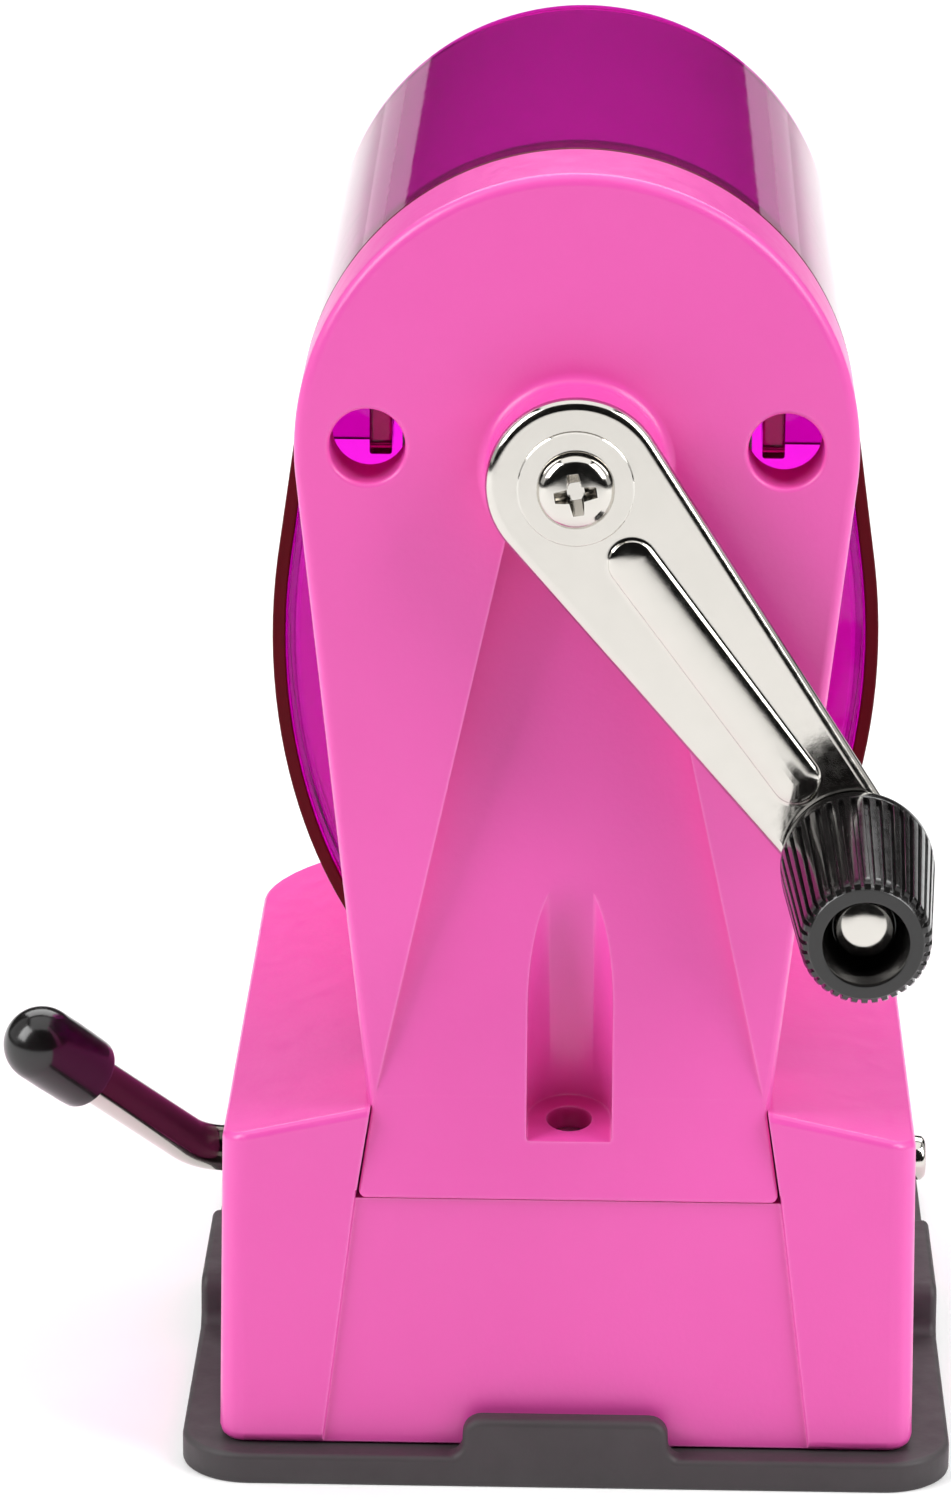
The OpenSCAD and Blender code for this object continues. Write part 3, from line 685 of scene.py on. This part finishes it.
def build_base():
    bm = hull(shell_points(0, shell_low.z, 1.0, 1.4))
    bm = boolean(bm, hull(shell_points(shell_wall, shell_low.z - 1, 0, 0)), "DIFFERENCE")
    notch_y = column_high.y + 0.2
    shelf = lump((-26.5, shell_low.y + 1, foot_z - 2.5), (26.5, notch_y + shell_wall, shell_high.z - 1))
    bm = boolean(bm, shelf, "UNION")
    for x in (-31.5, 31.5):
        for y in (-shell_high.y + 7.5, shell_high.y - 7.5):
            post = lathe([(1.6, -14), (4.5, -14), (4.5, 20), (0, 20)], 32, Matrix.Translation((x, y, 20)))
            bm = boolean(bm, post, "UNION")
    gap = 0.25
    seam = 0.15
    notch = [(-foot_x - gap, foot_z - seam), (foot_x + gap, foot_z - seam),
             (waist_x + gap, waist_z + 1), (-waist_x - gap, waist_z + 1)]
    bm = boolean(bm, prism(lambda g: notch, shell_low.y - 2, notch_y), "DIFFERENCE")
    top_x, low_x = foot_x, 28.4
    depth = 0.5
    panel = bmesh.new()
    loops = []
    for y, grow in ((shell_low.y - 1, 0.75), (shell_low.y, 0.25), (shell_low.y + depth, 0)):
        loops.append([(-low_x - grow, y, 0), (low_x + grow, y, 0), (top_x + grow, y, foot_z + 1),
                      (-top_x - grow, y, foot_z + 1)])
    rings = strip(panel, loops)
    panel.faces.new(rings[0])
    panel.faces.new(rings[-1])
    bm = boolean(bm, panel, "DIFFERENCE")
    bore = lathe([(0, -60), (2.85, -60), (2.85, 60), (0, 60)], 48,
                 Matrix.Translation((0, 0, lever_z)) @ Matrix.Rotation(pi / 2, 4, "Y"))
    bm = boolean(bm, bore, "DIFFERENCE")
    new_piece("base_cover", bm, "base", "pink_plastic", PINK, "base_shell", angle=32)


def tab_outline(g, high):
    """A finger tab of the pad, drawn in by g: a block with round shoulders and hollow feet."""
    half, low = 11.8, pad_top - 1.5
    foot_r, top_r = 1.8, 2.2
    side = []
    for i in range(7):
        a = pi / 2 * i / 6
        side.append((half + foot_r - (foot_r + g) * sin(a), pad_top + foot_r - (foot_r + g) * cos(a)))
    for i in range(7):
        a = pi / 2 * i / 6
        side.append((half - top_r + (top_r - g) * cos(a), high - top_r + (top_r - g) * sin(a)))
    return [(-half - foot_r, low), (half + foot_r, low)] + side + [(-x, z) for x, z in reversed(side)]


pad_high = box("suction_pad")[1]
pad_top = 3.6


def build_pad():
    x, y = pad_high.x, pad_high.y
    levels = [(0.3, 0), (0.08, 0.08), (0, 0.3)]
    edge_r = 0.7
    for i in range(6):
        a = pi / 2 * i / 5
        levels.append((edge_r * (1 - cos(a)), pad_top - edge_r * (1 - sin(a))))
    bm = bmesh.new()

    def plan(g):
        return rounded_polygon([(-x, -y), (x, -y), (x, y), (-x, y)], (8,) * 4, g, n=16)

    rings = strip(bm, [[(px, py, z) for px, py in plan(g)] for g, z in levels])
    wall = strip(bm, [[(px, py, z) for px, py in circle(34.5, 96)] for z in (0, pad_top)])
    fill(bm, [rings[0], wall[0]], (0, 0, -1))
    fill(bm, [rings[-1], wall[1]], (0, 0, 1))
    gap = 0.3
    end_t = y - shell_high.y - gap
    side_t = x - shell_high.x - gap
    end_top = pad_high.z - 1.0
    for turn, reach, thick, top in ((0, y, end_t, end_top), (180, y, end_t, end_top),
                                    (90, x, side_t, pad_high.z), (270, x, side_t, pad_high.z)):
        tab = prism(lambda g: tab_outline(g, top), -reach, -reach + thick, front=0.9, back=0.5)
        tab.transform(Matrix.Rotation(radians(turn), 4, "Z"))
        bm = boolean(bm, tab, "UNION")
    new_piece("rubber_pad", bm, "base", "pad_rubber", RUBBER, "suction_pad", angle=32)


# ---- Crank ----

def in_arm(x, y, depth):
    """A point of the crank arm's face: x along the arm, y across it, and depth along the shaft."""
    return Matrix.Rotation(crank_rest, 4, "Y") @ Vector((x, depth, y)) + Vector((0, 0, axis_z))


def arm_outline(g, depth):
    """The arm's outline drawn in by g: a tapered bar with two round ends."""
    arm_r = 9.9 - g
    tip_r = 6.1 - g
    lean = math.acos((arm_r - tip_r) / crank_len)
    big = [lean + (2 * pi - 2 * lean) * i / 56 for i in range(57)]
    small = [-lean + 2 * lean * i / 24 for i in range(25)]
    points = [(arm_r * cos(a), arm_r * sin(a)) for a in big]
    points += [(crank_len + tip_r * cos(a), tip_r * sin(a)) for a in small]
    return [in_arm(x, y, depth) for x, y in points]


def rib_outline(r, depth):
    """The outline of the arm's stiffening rib, r from its middle line."""
    rib_from, rib_to = 10.4, 41.0
    turn = [pi * i / 20 for i in range(21)]
    points = [(rib_to + r * sin(a), r * cos(a)) for a in turn]
    points += [(rib_from - r * sin(a), -r * cos(a)) for a in turn]
    return [in_arm(x, y, depth) for x, y in points]


def build_arm():
    front, back = arm_low.y + 0.8, arm_high.y
    edge_r = 1.2
    steps = 8
    rolled = [(edge_r * (1 - cos(pi / 2 * i / steps)), front + edge_r * (1 - sin(pi / 2 * i / steps)))
              for i in range(steps + 1)]
    bm = bmesh.new()
    outside = [(0.3, back), (0.08, back - 0.08), (0, back - 0.25)] + rolled
    face = strip(bm, [arm_outline(g, y) for g, y in outside])
    fill(bm, [face[0]], (0, 1, 0))
    rib_r, rib_h = 2.75, 0.78
    dome = [(rib_r + 0.35, 0), (rib_r + 0.12, 0.03), (rib_r - 0.1, 0.12)]
    dome += [(rib_r * cos(radians(a)) - 0.1, 0.12 + (rib_h - 0.12) * sin(radians(a)))
             for a in range(10, 86, 9)]
    rib = strip(bm, [rib_outline(r, front - h) for r, h in dome])
    bm.faces.new(rib[-1])
    fill(bm, [face[-1], rib[0]], (0, -1, 0))
    new_piece("arm", bm, "crank", "nickel_plate", NICKEL, "crank_arm", angle=50)


def build_washer():
    top = washer_high.y - washer_low.y
    r = washer_high.x
    lip = 0.12
    profile = [(2, 0), (r - lip, 0), (r, lip), (r, top - lip), (r - lip, top), (2, top)]
    place = toward_crank(0, washer_high.y, axis_z)
    new_piece("flat_washer", lathe(profile, 96, place), "crank", "nickel_plate", NICKEL, "crank_washer")


def build_screw():
    head_r, head_h = 4.26, 2.5
    dome_r = 1.9
    profile = [(0, -1), (1.9, -1), (1.9, 0), (head_r - 0.15, 0), (head_r, 0.15), (head_r, 0.5)]
    for i in range(1, 9):
        a = pi / 2 * i / 9
        profile.append((head_r - dome_r + dome_r * cos(a), 0.5 + (head_h - 0.75) * sin(a)))
    profile.append((head_r - dome_r, head_h - 0.2))
    profile.append((1.0, head_h - 0.03))
    profile.append((0, head_h))
    bm = lathe(profile, 96)
    recess = bmesh.new()
    turn = radians(9)
    levels = [(head_h + 0.6, 2.85, 0.72), (head_h - 0.5, 2.15, 0.58), (head_h - 2.0, 0.95, 0.5)]
    loops = []
    for height, reach, half in levels:
        corners = []
        for quarter in range(4):
            a = turn + quarter * pi / 2
            for along, across in ((reach, -half), (reach, half), (half + 0.18, half + 0.18)):
                corners.append((along * cos(a) - across * sin(a), along * sin(a) + across * cos(a), height))
        loops.append(corners)
    rings = strip(recess, loops)
    recess.faces.new(rings[0])
    recess.faces.new(rings[-1])
    bm = boolean(bm, recess, "DIFFERENCE")
    bm.transform(toward_crank(0, washer_low.y, axis_z))
    new_piece("cross_screw", bm, "crank", "nickel_plate", NICKEL, "crank_screw", rounding=0.1)


def build_knob():
    length = knob_high.y - knob_low.y
    rear_r, tip_r = 8.5, 7.0
    ribs = 38
    groove = 0.62
    band = 2.2
    shape = ((-0.15, 1.0), (0.0, 1.0), (0.15, 1.0), (0.21, 0.2), (0.27, 0.03),
             (0.5, 0.0), (0.73, 0.03), (0.79, 0.2))

    def taper(h):
        return rear_r if h < 3 else rear_r + (tip_r - rear_r) * (h - 3) / (length - 3)

    def loop(h, outer, cut):
        points = []
        for i in range(ribs):
            for u, depth in shape:
                a = 2 * pi * (i + u) / ribs
                r = min(outer, taper(h) - groove * depth * cut)
                points.append((r * cos(a), r * sin(a), h))
        return points

    def plain(h, r):
        return loop(h, r, 0)

    bore_r, bore_h, pin_r = 4.6, 6.0, 2.05
    rings = [plain(0, pin_r), plain(0, rear_r - 0.6), plain(0.12, rear_r - 0.25), plain(0.45, rear_r - 0.03),
             plain(0.8, rear_r), plain(band - 0.25, rear_r), plain(band - 0.05, rear_r - 0.08),
             loop(band, taper(band), 0.25), loop(band + 0.08, taper(band), 1)]
    spans = 10
    end = length - 1.5
    rings += [loop(band + 0.08 + (end - band - 0.08) * i / spans, rear_r, 1) for i in range(1, spans + 1)]
    face_r = tip_r - groove - 0.15
    rings += [loop(end + 0.55, taper(end) - 0.12, 1), loop(end + 1.1, taper(end) - 0.4, 1),
              plain(end + 1.35, face_r), plain(end + 1.47, face_r - 0.12), plain(length, face_r - 0.35),
              plain(length, bore_r + 0.35), plain(length - 0.1, bore_r + 0.08), plain(length - 0.4, bore_r),
              plain(length - bore_h + 1.6, bore_r - 0.25), plain(length - bore_h + 0.2, 3.6),
              plain(length - bore_h, 3.4), plain(length - bore_h, pin_r)]
    bm = bmesh.new()
    made = strip(bm, rings)
    for i, a in enumerate(made[-1]):
        j = (i + 1) % len(made[-1])
        bm.faces.new((a, made[-1][j], made[0][j], made[0][i]))
    bm.transform(toward_crank(knob_x, knob_high.y, knob_z))
    new_piece("fluted_knob", bm, "knob", "black_gloss", GLOSS, "crank_knob", angle=32)


def build_pin():
    """The rivet the handle turns on. Its head lies on the seat, the floor of the counterbore."""
    seat = 21.0
    back = arm_high.y - knob_high.y
    profile = [(0, -back - 0.5), (2, -back - 0.5), (3.1, -back), (3.3, -back + 0.2), (3.3, -back + 0.9),
               (2, -back + 1), (2, seat + 0.2), (3.1, seat + 0.25), (3.3, seat + 0.5), (3.28, seat + 0.9),
               (3.0, seat + 1.35), (2.2, seat + 1.62), (1.1, seat + 1.68), (0, seat + 1.7)]
    new_piece("handle_rivet", lathe(profile, 64, toward_crank(knob_x, knob_high.y, knob_z)),
              "crank", "nickel_plate", NICKEL, "knob_pin")


# ---- Receptacle ----

def egg(g, y, n=192):
    """The egg outline drawn in by g, at depth y."""
    points = []
    r, p, q = head_r - g, egg_a - g, egg_b - g
    for i in range(n):
        a = 2 * pi * i / n
        s = sqrt((p * cos(a)) ** 2 + (q * sin(a)) ** 2)
        if r + head_z * sin(a) > s + egg_z * sin(a):
            points.append((r * cos(a), y, head_z + r * sin(a)))
        else:
            points.append((p * p * cos(a) / s, y, egg_z + q * q * sin(a) / s))
    return points


def hole(r, x, z, y, n=48):
    return [(x + r * cos(2 * pi * i / n), y, z + r * sin(2 * pi * i / n)) for i in range(n)]


def build_drum():
    start, end = drum_low.y, drum_high.y
    round_r = 1.8
    steps = 10
    inner_r = round_r - drum_wall
    inner_end = end - drum_wall
    rungs = (start + 0.28, start + 12, start + 30, start + 52, start + 70)
    outer = [(drum_wall * 0.5, start), (0.28, start), (0.08, start + 0.08)]
    outer += [(0, y) for y in rungs]
    inner = [(drum_wall * 0.5, start), (drum_wall - 0.28, start), (drum_wall - 0.08, start + 0.08)]
    inner += [(drum_wall, y) for y in rungs]
    for i in range(steps + 1):
        a = pi / 2 * i / steps
        outer.append((round_r * (1 - cos(a)), end - round_r * (1 - sin(a))))
        inner.append((drum_wall + inner_r * (1 - cos(a)), inner_end - inner_r * (1 - sin(a))))
    bm = bmesh.new()
    outside = strip(bm, [egg(g, y) for g, y in outer])
    inside = strip(bm, [egg(g, y) for g, y in inner])
    holes = ((4.9, 0, axis_z), (2.0, 0, dial_z))
    far = [hole(r, x, z, end) for r, x, z in holes]
    near = [hole(r, x, z, inner_end) for r, x, z in holes]
    walls = [strip(bm, [a, b]) for a, b in zip(far, near)]
    fill(bm, [outside[-1]] + [w[0] for w in walls], (0, 1, 0))
    fill(bm, [inside[-1]] + [w[1] for w in walls], (0, -1, 0))
    bmesh.ops.remove_doubles(bm, verts=bm.verts, dist=1e-3)
    drum = new_piece("drum", bm, "receptacle", "purple_clear", PURPLE, "receptacle_drum", angle=40)
    drum.data.materials.append(EDGE_PURPLE)
    for face in drum.data.polygons:
        if face.center.y < (start + 0.3) * MM:
            face.material_index = 1


def build_panel():
    near = drum_low.y + 0.6
    far = near + drum_wall
    edge = drum_wall
    bead = [(edge + 0.02, near + 0.45), (edge + 0.12, near + 0.12), (edge + 0.4, near), (edge + 0.95, near),
            (edge + 1.08, near + 0.28), (edge + 1.45, near + 0.28), (edge + 1.58, near)]
    bm = bmesh.new()
    front = strip(bm, [egg(g, y) for g, y in [(edge + 0.4, far), (edge + 0.02, far - 0.4)] + bead])
    cut_z = 60.0
    mouth = strip(bm, [[(x, y, z) for x, z in column_outline(column_rim, cut_z)] for y in (far, near)])
    fill(bm, [front[-1], mouth[1]], (0, -1, 0))
    fill(bm, [front[0], mouth[0]], (0, 1, 0))
    skirt_t, skirt_end = 1.1, near + 6.5
    skirt = [(0.05, near + 1), (0.05, skirt_end - 0.3), (0.3, skirt_end), (skirt_t, skirt_end),
             (skirt_t, near + 1), (0.05, near + 1)]
    strip(bm, [egg(edge + g, y) for g, y in skirt])
    latch_in, latch_out, root = 20.6, 23.1, 28.6
    for side in (-1, 1):
        for low, high in (((latch_in, near + 0.1, 119.2), (root, far - 0.1, 126.8)),
                          ((latch_in, panel_low.y, 119), (latch_out, far - 0.05, 127))):
            xs = sorted((side * low[0], side * high[0]))
            tongue = lump((xs[0], low[1], low[2]), (xs[1], high[1], high[2]))
            bmesh.ops.bevel(tongue, geom=tongue.edges, offset=0.3, segments=3, affect="EDGES", profile=0.5)
            mesh = bpy.data.meshes.new("tongue")
            tongue.to_mesh(mesh)
            bm.from_mesh(mesh)
    bmesh.ops.remove_doubles(bm, verts=bm.verts, dist=1e-4)
    # the panel wears the shaded copy of the purple, its darkness painted shade
    new_piece("drum_panel", bm, "receptacle", "purple_clear", PURPLE_PANEL_PAINTED_SHADE, "receptacle_back", angle=40)


def build_guide():
    inner, outer = 4.9, 6.6
    start = guide_low.y
    length = guide_high.y - start
    profile = [(inner, 0.4), (inner + 0.4, 0), (outer - 0.5, 0), (outer, 0.5), (outer, length - 2.4),
               (outer + 0.25, length - 1.8), (outer + 0.9, length - 1.5), (outer + 1.4, length - 1.4),
               (outer + 1.4, length), (inner, length), (inner, 0.4)]
    bm = bmesh.new()
    place = toward_pencil(0, start, axis_z)
    strip(bm, [[place @ Vector((x, y, h)) for x, y in circle(r, 72)] for r, h in profile])
    bmesh.ops.remove_doubles(bm, verts=bm.verts, dist=1e-4)
    new_piece("guide_tube", bm, "receptacle", "purple_clear", PURPLE, "pencil_guide", angle=40)


def build_dial():
    """The pencil size dial: a knurled disc with a ring of holes and a raised mark beside each."""
    back, front = dial_low.y, dial_high.y
    r = dial_high.x
    knurls = 72
    holes = 8
    ring_r = 13.0
    mark_ring_r = 10.0
    smallest, step, at_rest = 3.2, 0.2, 5
    edge = 0.5

    def rim(g, y, knurl):
        points = []
        for i in range(knurls * 4):
            a = 2 * pi * i / (knurls * 4)
            wave = 0.5 - 0.5 * cos(knurls * a)
            reach = r - g - 0.35 * knurl * wave
            points.append((reach * cos(a), y, dial_z + reach * sin(a)))
        return points

    bm = bmesh.new()
    loops = [rim(1.6, front, 0), rim(1.0, front - 0.25, 0), rim(0.45, front - 0.7, 0),
             rim(0.05, front - 1.0, 1), rim(0, front - 1.2, 1), rim(0, back + 0.5, 1), rim(edge, back, 0)]
    made = strip(bm, loops)
    tops, bottoms = [], []
    spots = [(2.05, 0.0, dial_z)]
    for i in range(holes):
        a = radians(90) + (i - at_rest) * 2 * pi / holes
        spots.append((smallest + i * step, ring_r * cos(a), dial_z + ring_r * sin(a)))
    for hole_r, x, z in spots:
        lip = 0.35 if hole_r > 2.5 else 0.1
        wall = strip(bm, [hole(hole_r + lip, x, z, front), hole(hole_r + 0.3 * lip, x, z, front - 0.3 * lip),
                          hole(hole_r, x, z, front - lip), hole(hole_r, x, z, back + 0.2),
                          hole(hole_r + 0.2, x, z, back)])
        tops.append(wall[0])
        bottoms.append(wall[-1])
    fill(bm, [made[0]] + tops, (0, 1, 0))
    fill(bm, [made[-1]] + bottoms, (0, -1, 0))
    for i in range(holes):
        a = radians(90) + (i - at_rest) * 2 * pi / holes
        dot_r = 0.45 + 0.09 * i
        between = a + pi / holes
        place = toward_pencil(mark_ring_r * cos(between), front, dial_z + mark_ring_r * sin(between))
        dome = [(dot_r, -0.2), (dot_r, 0.1), (dot_r * 0.8, 0.28), (dot_r * 0.4, 0.36), (0, 0.38)]
        dot = lathe(dome, 24, place)
        mesh = bpy.data.meshes.new("dot")
        dot.to_mesh(mesh)
        bm.from_mesh(mesh)
    new_piece("size_dial", bm, "dial", "black_plastic", BLACK, "selector_dial", angle=35)


# ---- Cutters ----

def build_cutter(name, node, body, spin):
    """A helical cutter: saw-shaped blades that wind round a hub, with a neck for its pinion."""
    r, bore, neck = 6.0, 1.7, 2.6
    start, end, neck_end = 2.5, 23.5, 27.0
    blades = 16
    twist = radians(70)
    land = ((0.0, 0.0), (0.16, 0.02), (0.30, 0.55), (0.55, 0.95), (0.85, 0.8), (0.97, 0.3))
    levels = 28

    def loop(h, shrink=0.0):
        turn = twist * (h - start) / (end - start)
        points = []
        for i in range(blades):
            for u, depth in land:
                a = 2 * pi * (i + u) / blades + turn
                reach = r - depth - shrink
                points.append((reach * cos(a), reach * sin(a), h))
        return points

    def ring(h, radius):
        turn = twist * (h - start) / (end - start)
        points = []
        for i in range(blades):
            for u, _ in land:
                a = 2 * pi * (i + u) / blades + turn
                points.append((radius * cos(a), radius * sin(a), h))
        return points

    loops = [ring(start, bore), ring(start, 4.4), loop(start + 0.3, 0.35)]
    loops += [loop(start + 0.6 + (end - start - 1.0) * i / levels) for i in range(levels + 1)]
    loops += [loop(end - 0.15, 0.3), ring(end, 4.2), ring(end, neck + 0.3), ring(end + 0.3, neck),
              ring(neck_end + 2.4, neck), ring(neck_end + 2.4, bore), ring(start, bore)]
    bm = bmesh.new()
    strip(bm, loops)
    bmesh.ops.remove_doubles(bm, verts=bm.verts, dist=1e-4)
    bm.transform(along_axis(spin))
    new_piece(name, bm, body, "cutter_steel", CUTTER, node, angle=28)


# ---- Lever ----

lever_rest = radians(36)
lever_splay = radians(38.8)
lever_bend_x = -45.3


def lever_direction():
    """Where the lever's arm points from its bend."""
    turn = Matrix.Rotation(lever_rest, 3, "X") @ Matrix.Rotation(-lever_splay, 3, "Y")
    return turn @ Vector((0, 0, 1))


def sweep(path, n=40):
    """A round bar along path, a list of (point, radius)."""
    bm = bmesh.new()
    points = [Vector(p) for p, _ in path]
    tangents = []
    for i in range(len(points)):
        ahead = points[min(i + 1, len(points) - 1)] - points[max(i - 1, 0)]
        tangents.append(ahead.normalized())
    side = tangents[0].orthogonal().normalized()
    loops = []
    for i, (point, (_, r)) in enumerate(zip(points, path)):
        if i:
            side = tangents[i - 1].rotation_difference(tangents[i]) @ side
        up = tangents[i].cross(side).normalized()
        loops.append([point + r * (cos(2 * pi * k / n) * side + sin(2 * pi * k / n) * up) for k in range(n)])
    rings = strip(bm, loops)
    bm.faces.new(rings[0])
    bm.faces.new(rings[-1])
    return bm


def build_lever():
    r = 2.8
    end_x = rod_high.x
    wall_x = shell_high.x
    axle = Vector((1, 0, 0))
    out = lever_direction()
    corner = Vector((lever_bend_x, 0, lever_z))
    bend_r = 6.0
    turn = (-axle).angle(out)
    reach = bend_r * tan(turn / 2)
    start = corner + reach * axle
    inward = (out + axle * cos(turn)).normalized()
    centre = start + bend_r * inward
    turned = [(end_x, r - 0.7), (end_x - 0.12, r - 0.5), (end_x - 0.5, r - 0.12), (wall_x + 1.45, r),
              (wall_x + 1.25, r - 0.12), (wall_x + 1.2, r - 0.65), (wall_x + 0.55, r - 0.65),
              (wall_x + 0.5, r - 0.1), (wall_x + 0.3, r)]
    turned += [(x, r) for x in (30, 12, -12, -30, start.x + 0.6)]
    path = [((x, 0, lever_z), bar_r) for x, bar_r in turned]
    steps = 14
    for i in range(steps + 1):
        a = turn * i / steps
        point = centre - bend_r * cos(a) * inward - bend_r * sin(a) * axle
        path.append((point, r))
    arm_len = 28.5
    path += [(corner + out * d, r) for d in (reach + 0.6, 10, 18, arm_len - 3)]
    bm = sweep(path)
    # the bent lever wears nickel with a painted dark reflection on its upper side
    new_piece("bent_lever", bm, "lever", "nickel_plate", NICKEL_PAINTED_REFLECTION, "lever_rod", angle=40)

    cap_r = 4.59
    sleeve = 8.4
    tilt = Vector((0, 0, 1)).rotation_difference(out).to_matrix().to_4x4()
    place = Matrix.Translation(corner + arm_len * out) @ tilt
    profile = [(r + 0.02, -sleeve + 1.0), (r + 0.15, -sleeve + 0.15), (r + 0.45, -sleeve),
               (cap_r - 0.75, -sleeve), (cap_r - 0.35, -sleeve + 0.12), (cap_r - 0.15, -sleeve + 0.5),
               (cap_r - 0.08, -sleeve + 1.6), (cap_r, -3.0)]
    profile += [(cap_r * cos(pi / 2 * i / 16), cap_r * sin(pi / 2 * i / 16)) for i in range(17)]
    new_piece("round_cap", lathe(profile, 64, place), "lever", "black_gloss", GLOSS, "lever_cap")


# ---- Inner nodes: the CAD shape with rounded edges and a finish ----

def finish_node(node, material, rounding=0.15):
    """Gives a CAD node its material, with its seams joined and its edges rounded by modifiers."""
    piece = frame["nodes"][node]
    piece.data.materials.clear()
    piece.data.materials.append(material)
    weld = piece.modifiers.new("seams", "WELD")
    weld.merge_threshold = 0.002 * MM
    flat = piece.modifiers.new("flats", "DECIMATE")
    flat.decimate_type = "DISSOLVE"
    flat.angle_limit = radians(0.3)
    round_edges(piece, rounding, 2)
    smooth_normals(piece, 40)


INNER_LOOKS = {
    NICKEL: ("drive_shaft", "cutter_axles", "pinion_a", "pinion_b", "dial_rivet", "cam_pin", "lift_stem"),
    STEEL: ("base_plate", "base_plate_screws", "column_screw", "cutter_frame_screws", "ring_gear",
            "shaft_clip", "dial_washer", "lever_clips", "lever_cam", "lift_plate"),
    CAST: ("cutter_frame", "cutter_carrier"),
    BRONZE: ("shaft_bush",),
    RUBBER: ("suction_diaphragm",),
    BLACK: ("stem_guide",),
}


# ---- Stage ----

def build_floor():
    """A plain pale floor."""
    half = 4000
    bm = bmesh.new()
    corners = [(-half, -half, 0), (half, -half, 0), (half, half, 0), (-half, half, 0)]
    bm.faces.new([bm.verts.new(c) for c in corners])
    bmesh.ops.scale(bm, vec=(MM, MM, MM), verts=bm.verts)
    floor = loose(bm, "floor")
    look = Look("floor_paint", roughness=0.9)
    look.colour((0.88, 0.88, 0.88), (0.91, 0.91, 0.91), look.noise(400, 2))
    look.set("Emission Color", (1, 1, 1, 1))
    look.set("Emission Strength", 0.1)
    floor.data.materials.append(look.material)


def softbox(name, place, target, width, height, radiance, spread=180):
    """A rectangular lamp that gives off the same radiance all over its face."""
    lamp = bpy.data.lights.new(name, "AREA")
    lamp.shape = "RECTANGLE"
    lamp.size = width
    lamp.size_y = height
    lamp.energy = radiance * pi * width * height
    lamp.spread = radians(spread)
    holder = bpy.data.objects.new(name, lamp)
    bpy.context.scene.collection.objects.link(holder)
    holder.location = place
    holder.rotation_euler = (Vector(place) - Vector(target)).to_track_quat("Z", "Y").to_euler()


def build_lights():
    """Soft lamps all round, the strongest in front, with a dim grey world behind them."""
    middle = (0, 0, 0.08)
    softbox("top_box", (0, -0.05, 1.3), middle, 1.4, 1.1, 1.4)
    for hand, side in (("left", -1), ("right", 1)):
        softbox(f"{hand}_box", (1.25 * side, 0.15, 0.75), middle, 1.4, 1.3, 0.6)
        softbox(f"{hand}_front_box", (1.1 * side, -0.5, 0.95), middle, 0.7, 1.0, 6.9)
    softbox("low_back_box", (0, 1.6, -0.03), (0, 0, -0.03), 3.0, 0.4, 0.45)
    softbox("high_back_box", (0, 1.0, 1.05), middle, 1.6, 0.8, 3.1)
    world = bpy.data.worlds.new("studio")
    world.use_nodes = True
    backdrop = world.node_tree.nodes["Background"]
    backdrop.inputs["Color"].default_value = (0.01, 0.01, 0.01, 1)
    backdrop.inputs["Strength"].default_value = 1.0
    bpy.context.scene.world = world


def build_camera():
    """The camera looks down on the crank side from the front."""
    yaw, pitch, roll = -0.0222157, 0.3051607, 0.0062965
    eye = Vector((3.28, -683.98, 288.37)) * MM
    level = Vector((sin(yaw), cos(yaw), 0))
    right = Vector((cos(yaw), -sin(yaw), 0))
    up = Vector((0, 0, 1))
    ahead = level * cos(pitch) - up * sin(pitch)
    above = up * cos(pitch) + level * sin(pitch)
    x_axis = right * cos(roll) + above * sin(roll)
    y_axis = above * cos(roll) - right * sin(roll)
    turn = Matrix((x_axis, y_axis, -ahead)).transposed().to_4x4()
    lens = bpy.data.cameras.new("camera")
    lens.sensor_fit = "VERTICAL"
    lens.sensor_height = 36
    lens.sensor_width = 36
    lens.lens = 144
    camera = bpy.data.objects.new("camera", lens)
    bpy.context.scene.collection.objects.link(camera)
    camera.matrix_world = Matrix.Translation(eye) @ turn
    bpy.context.scene.camera = camera


build_camera()
build_lights()
build_floor()
build_column()
build_base()
build_pad()
build_arm()
build_washer()
build_screw()
build_knob()
build_pin()
build_drum()
build_panel()
build_guide()
build_dial()
build_cutter("upper_cutter_wheel", "cutter_a", "upper_cutter", "upper_cutter_spin")
build_cutter("lower_cutter_wheel", "cutter_b", "lower_cutter", "lower_cutter_spin")
build_lever()
for look, names in INNER_LOOKS.items():
    for name in names:
        finish_node(name, look)

scene = bpy.context.scene
scene.view_settings.view_transform = "Standard"
scene.view_settings.look = "None"
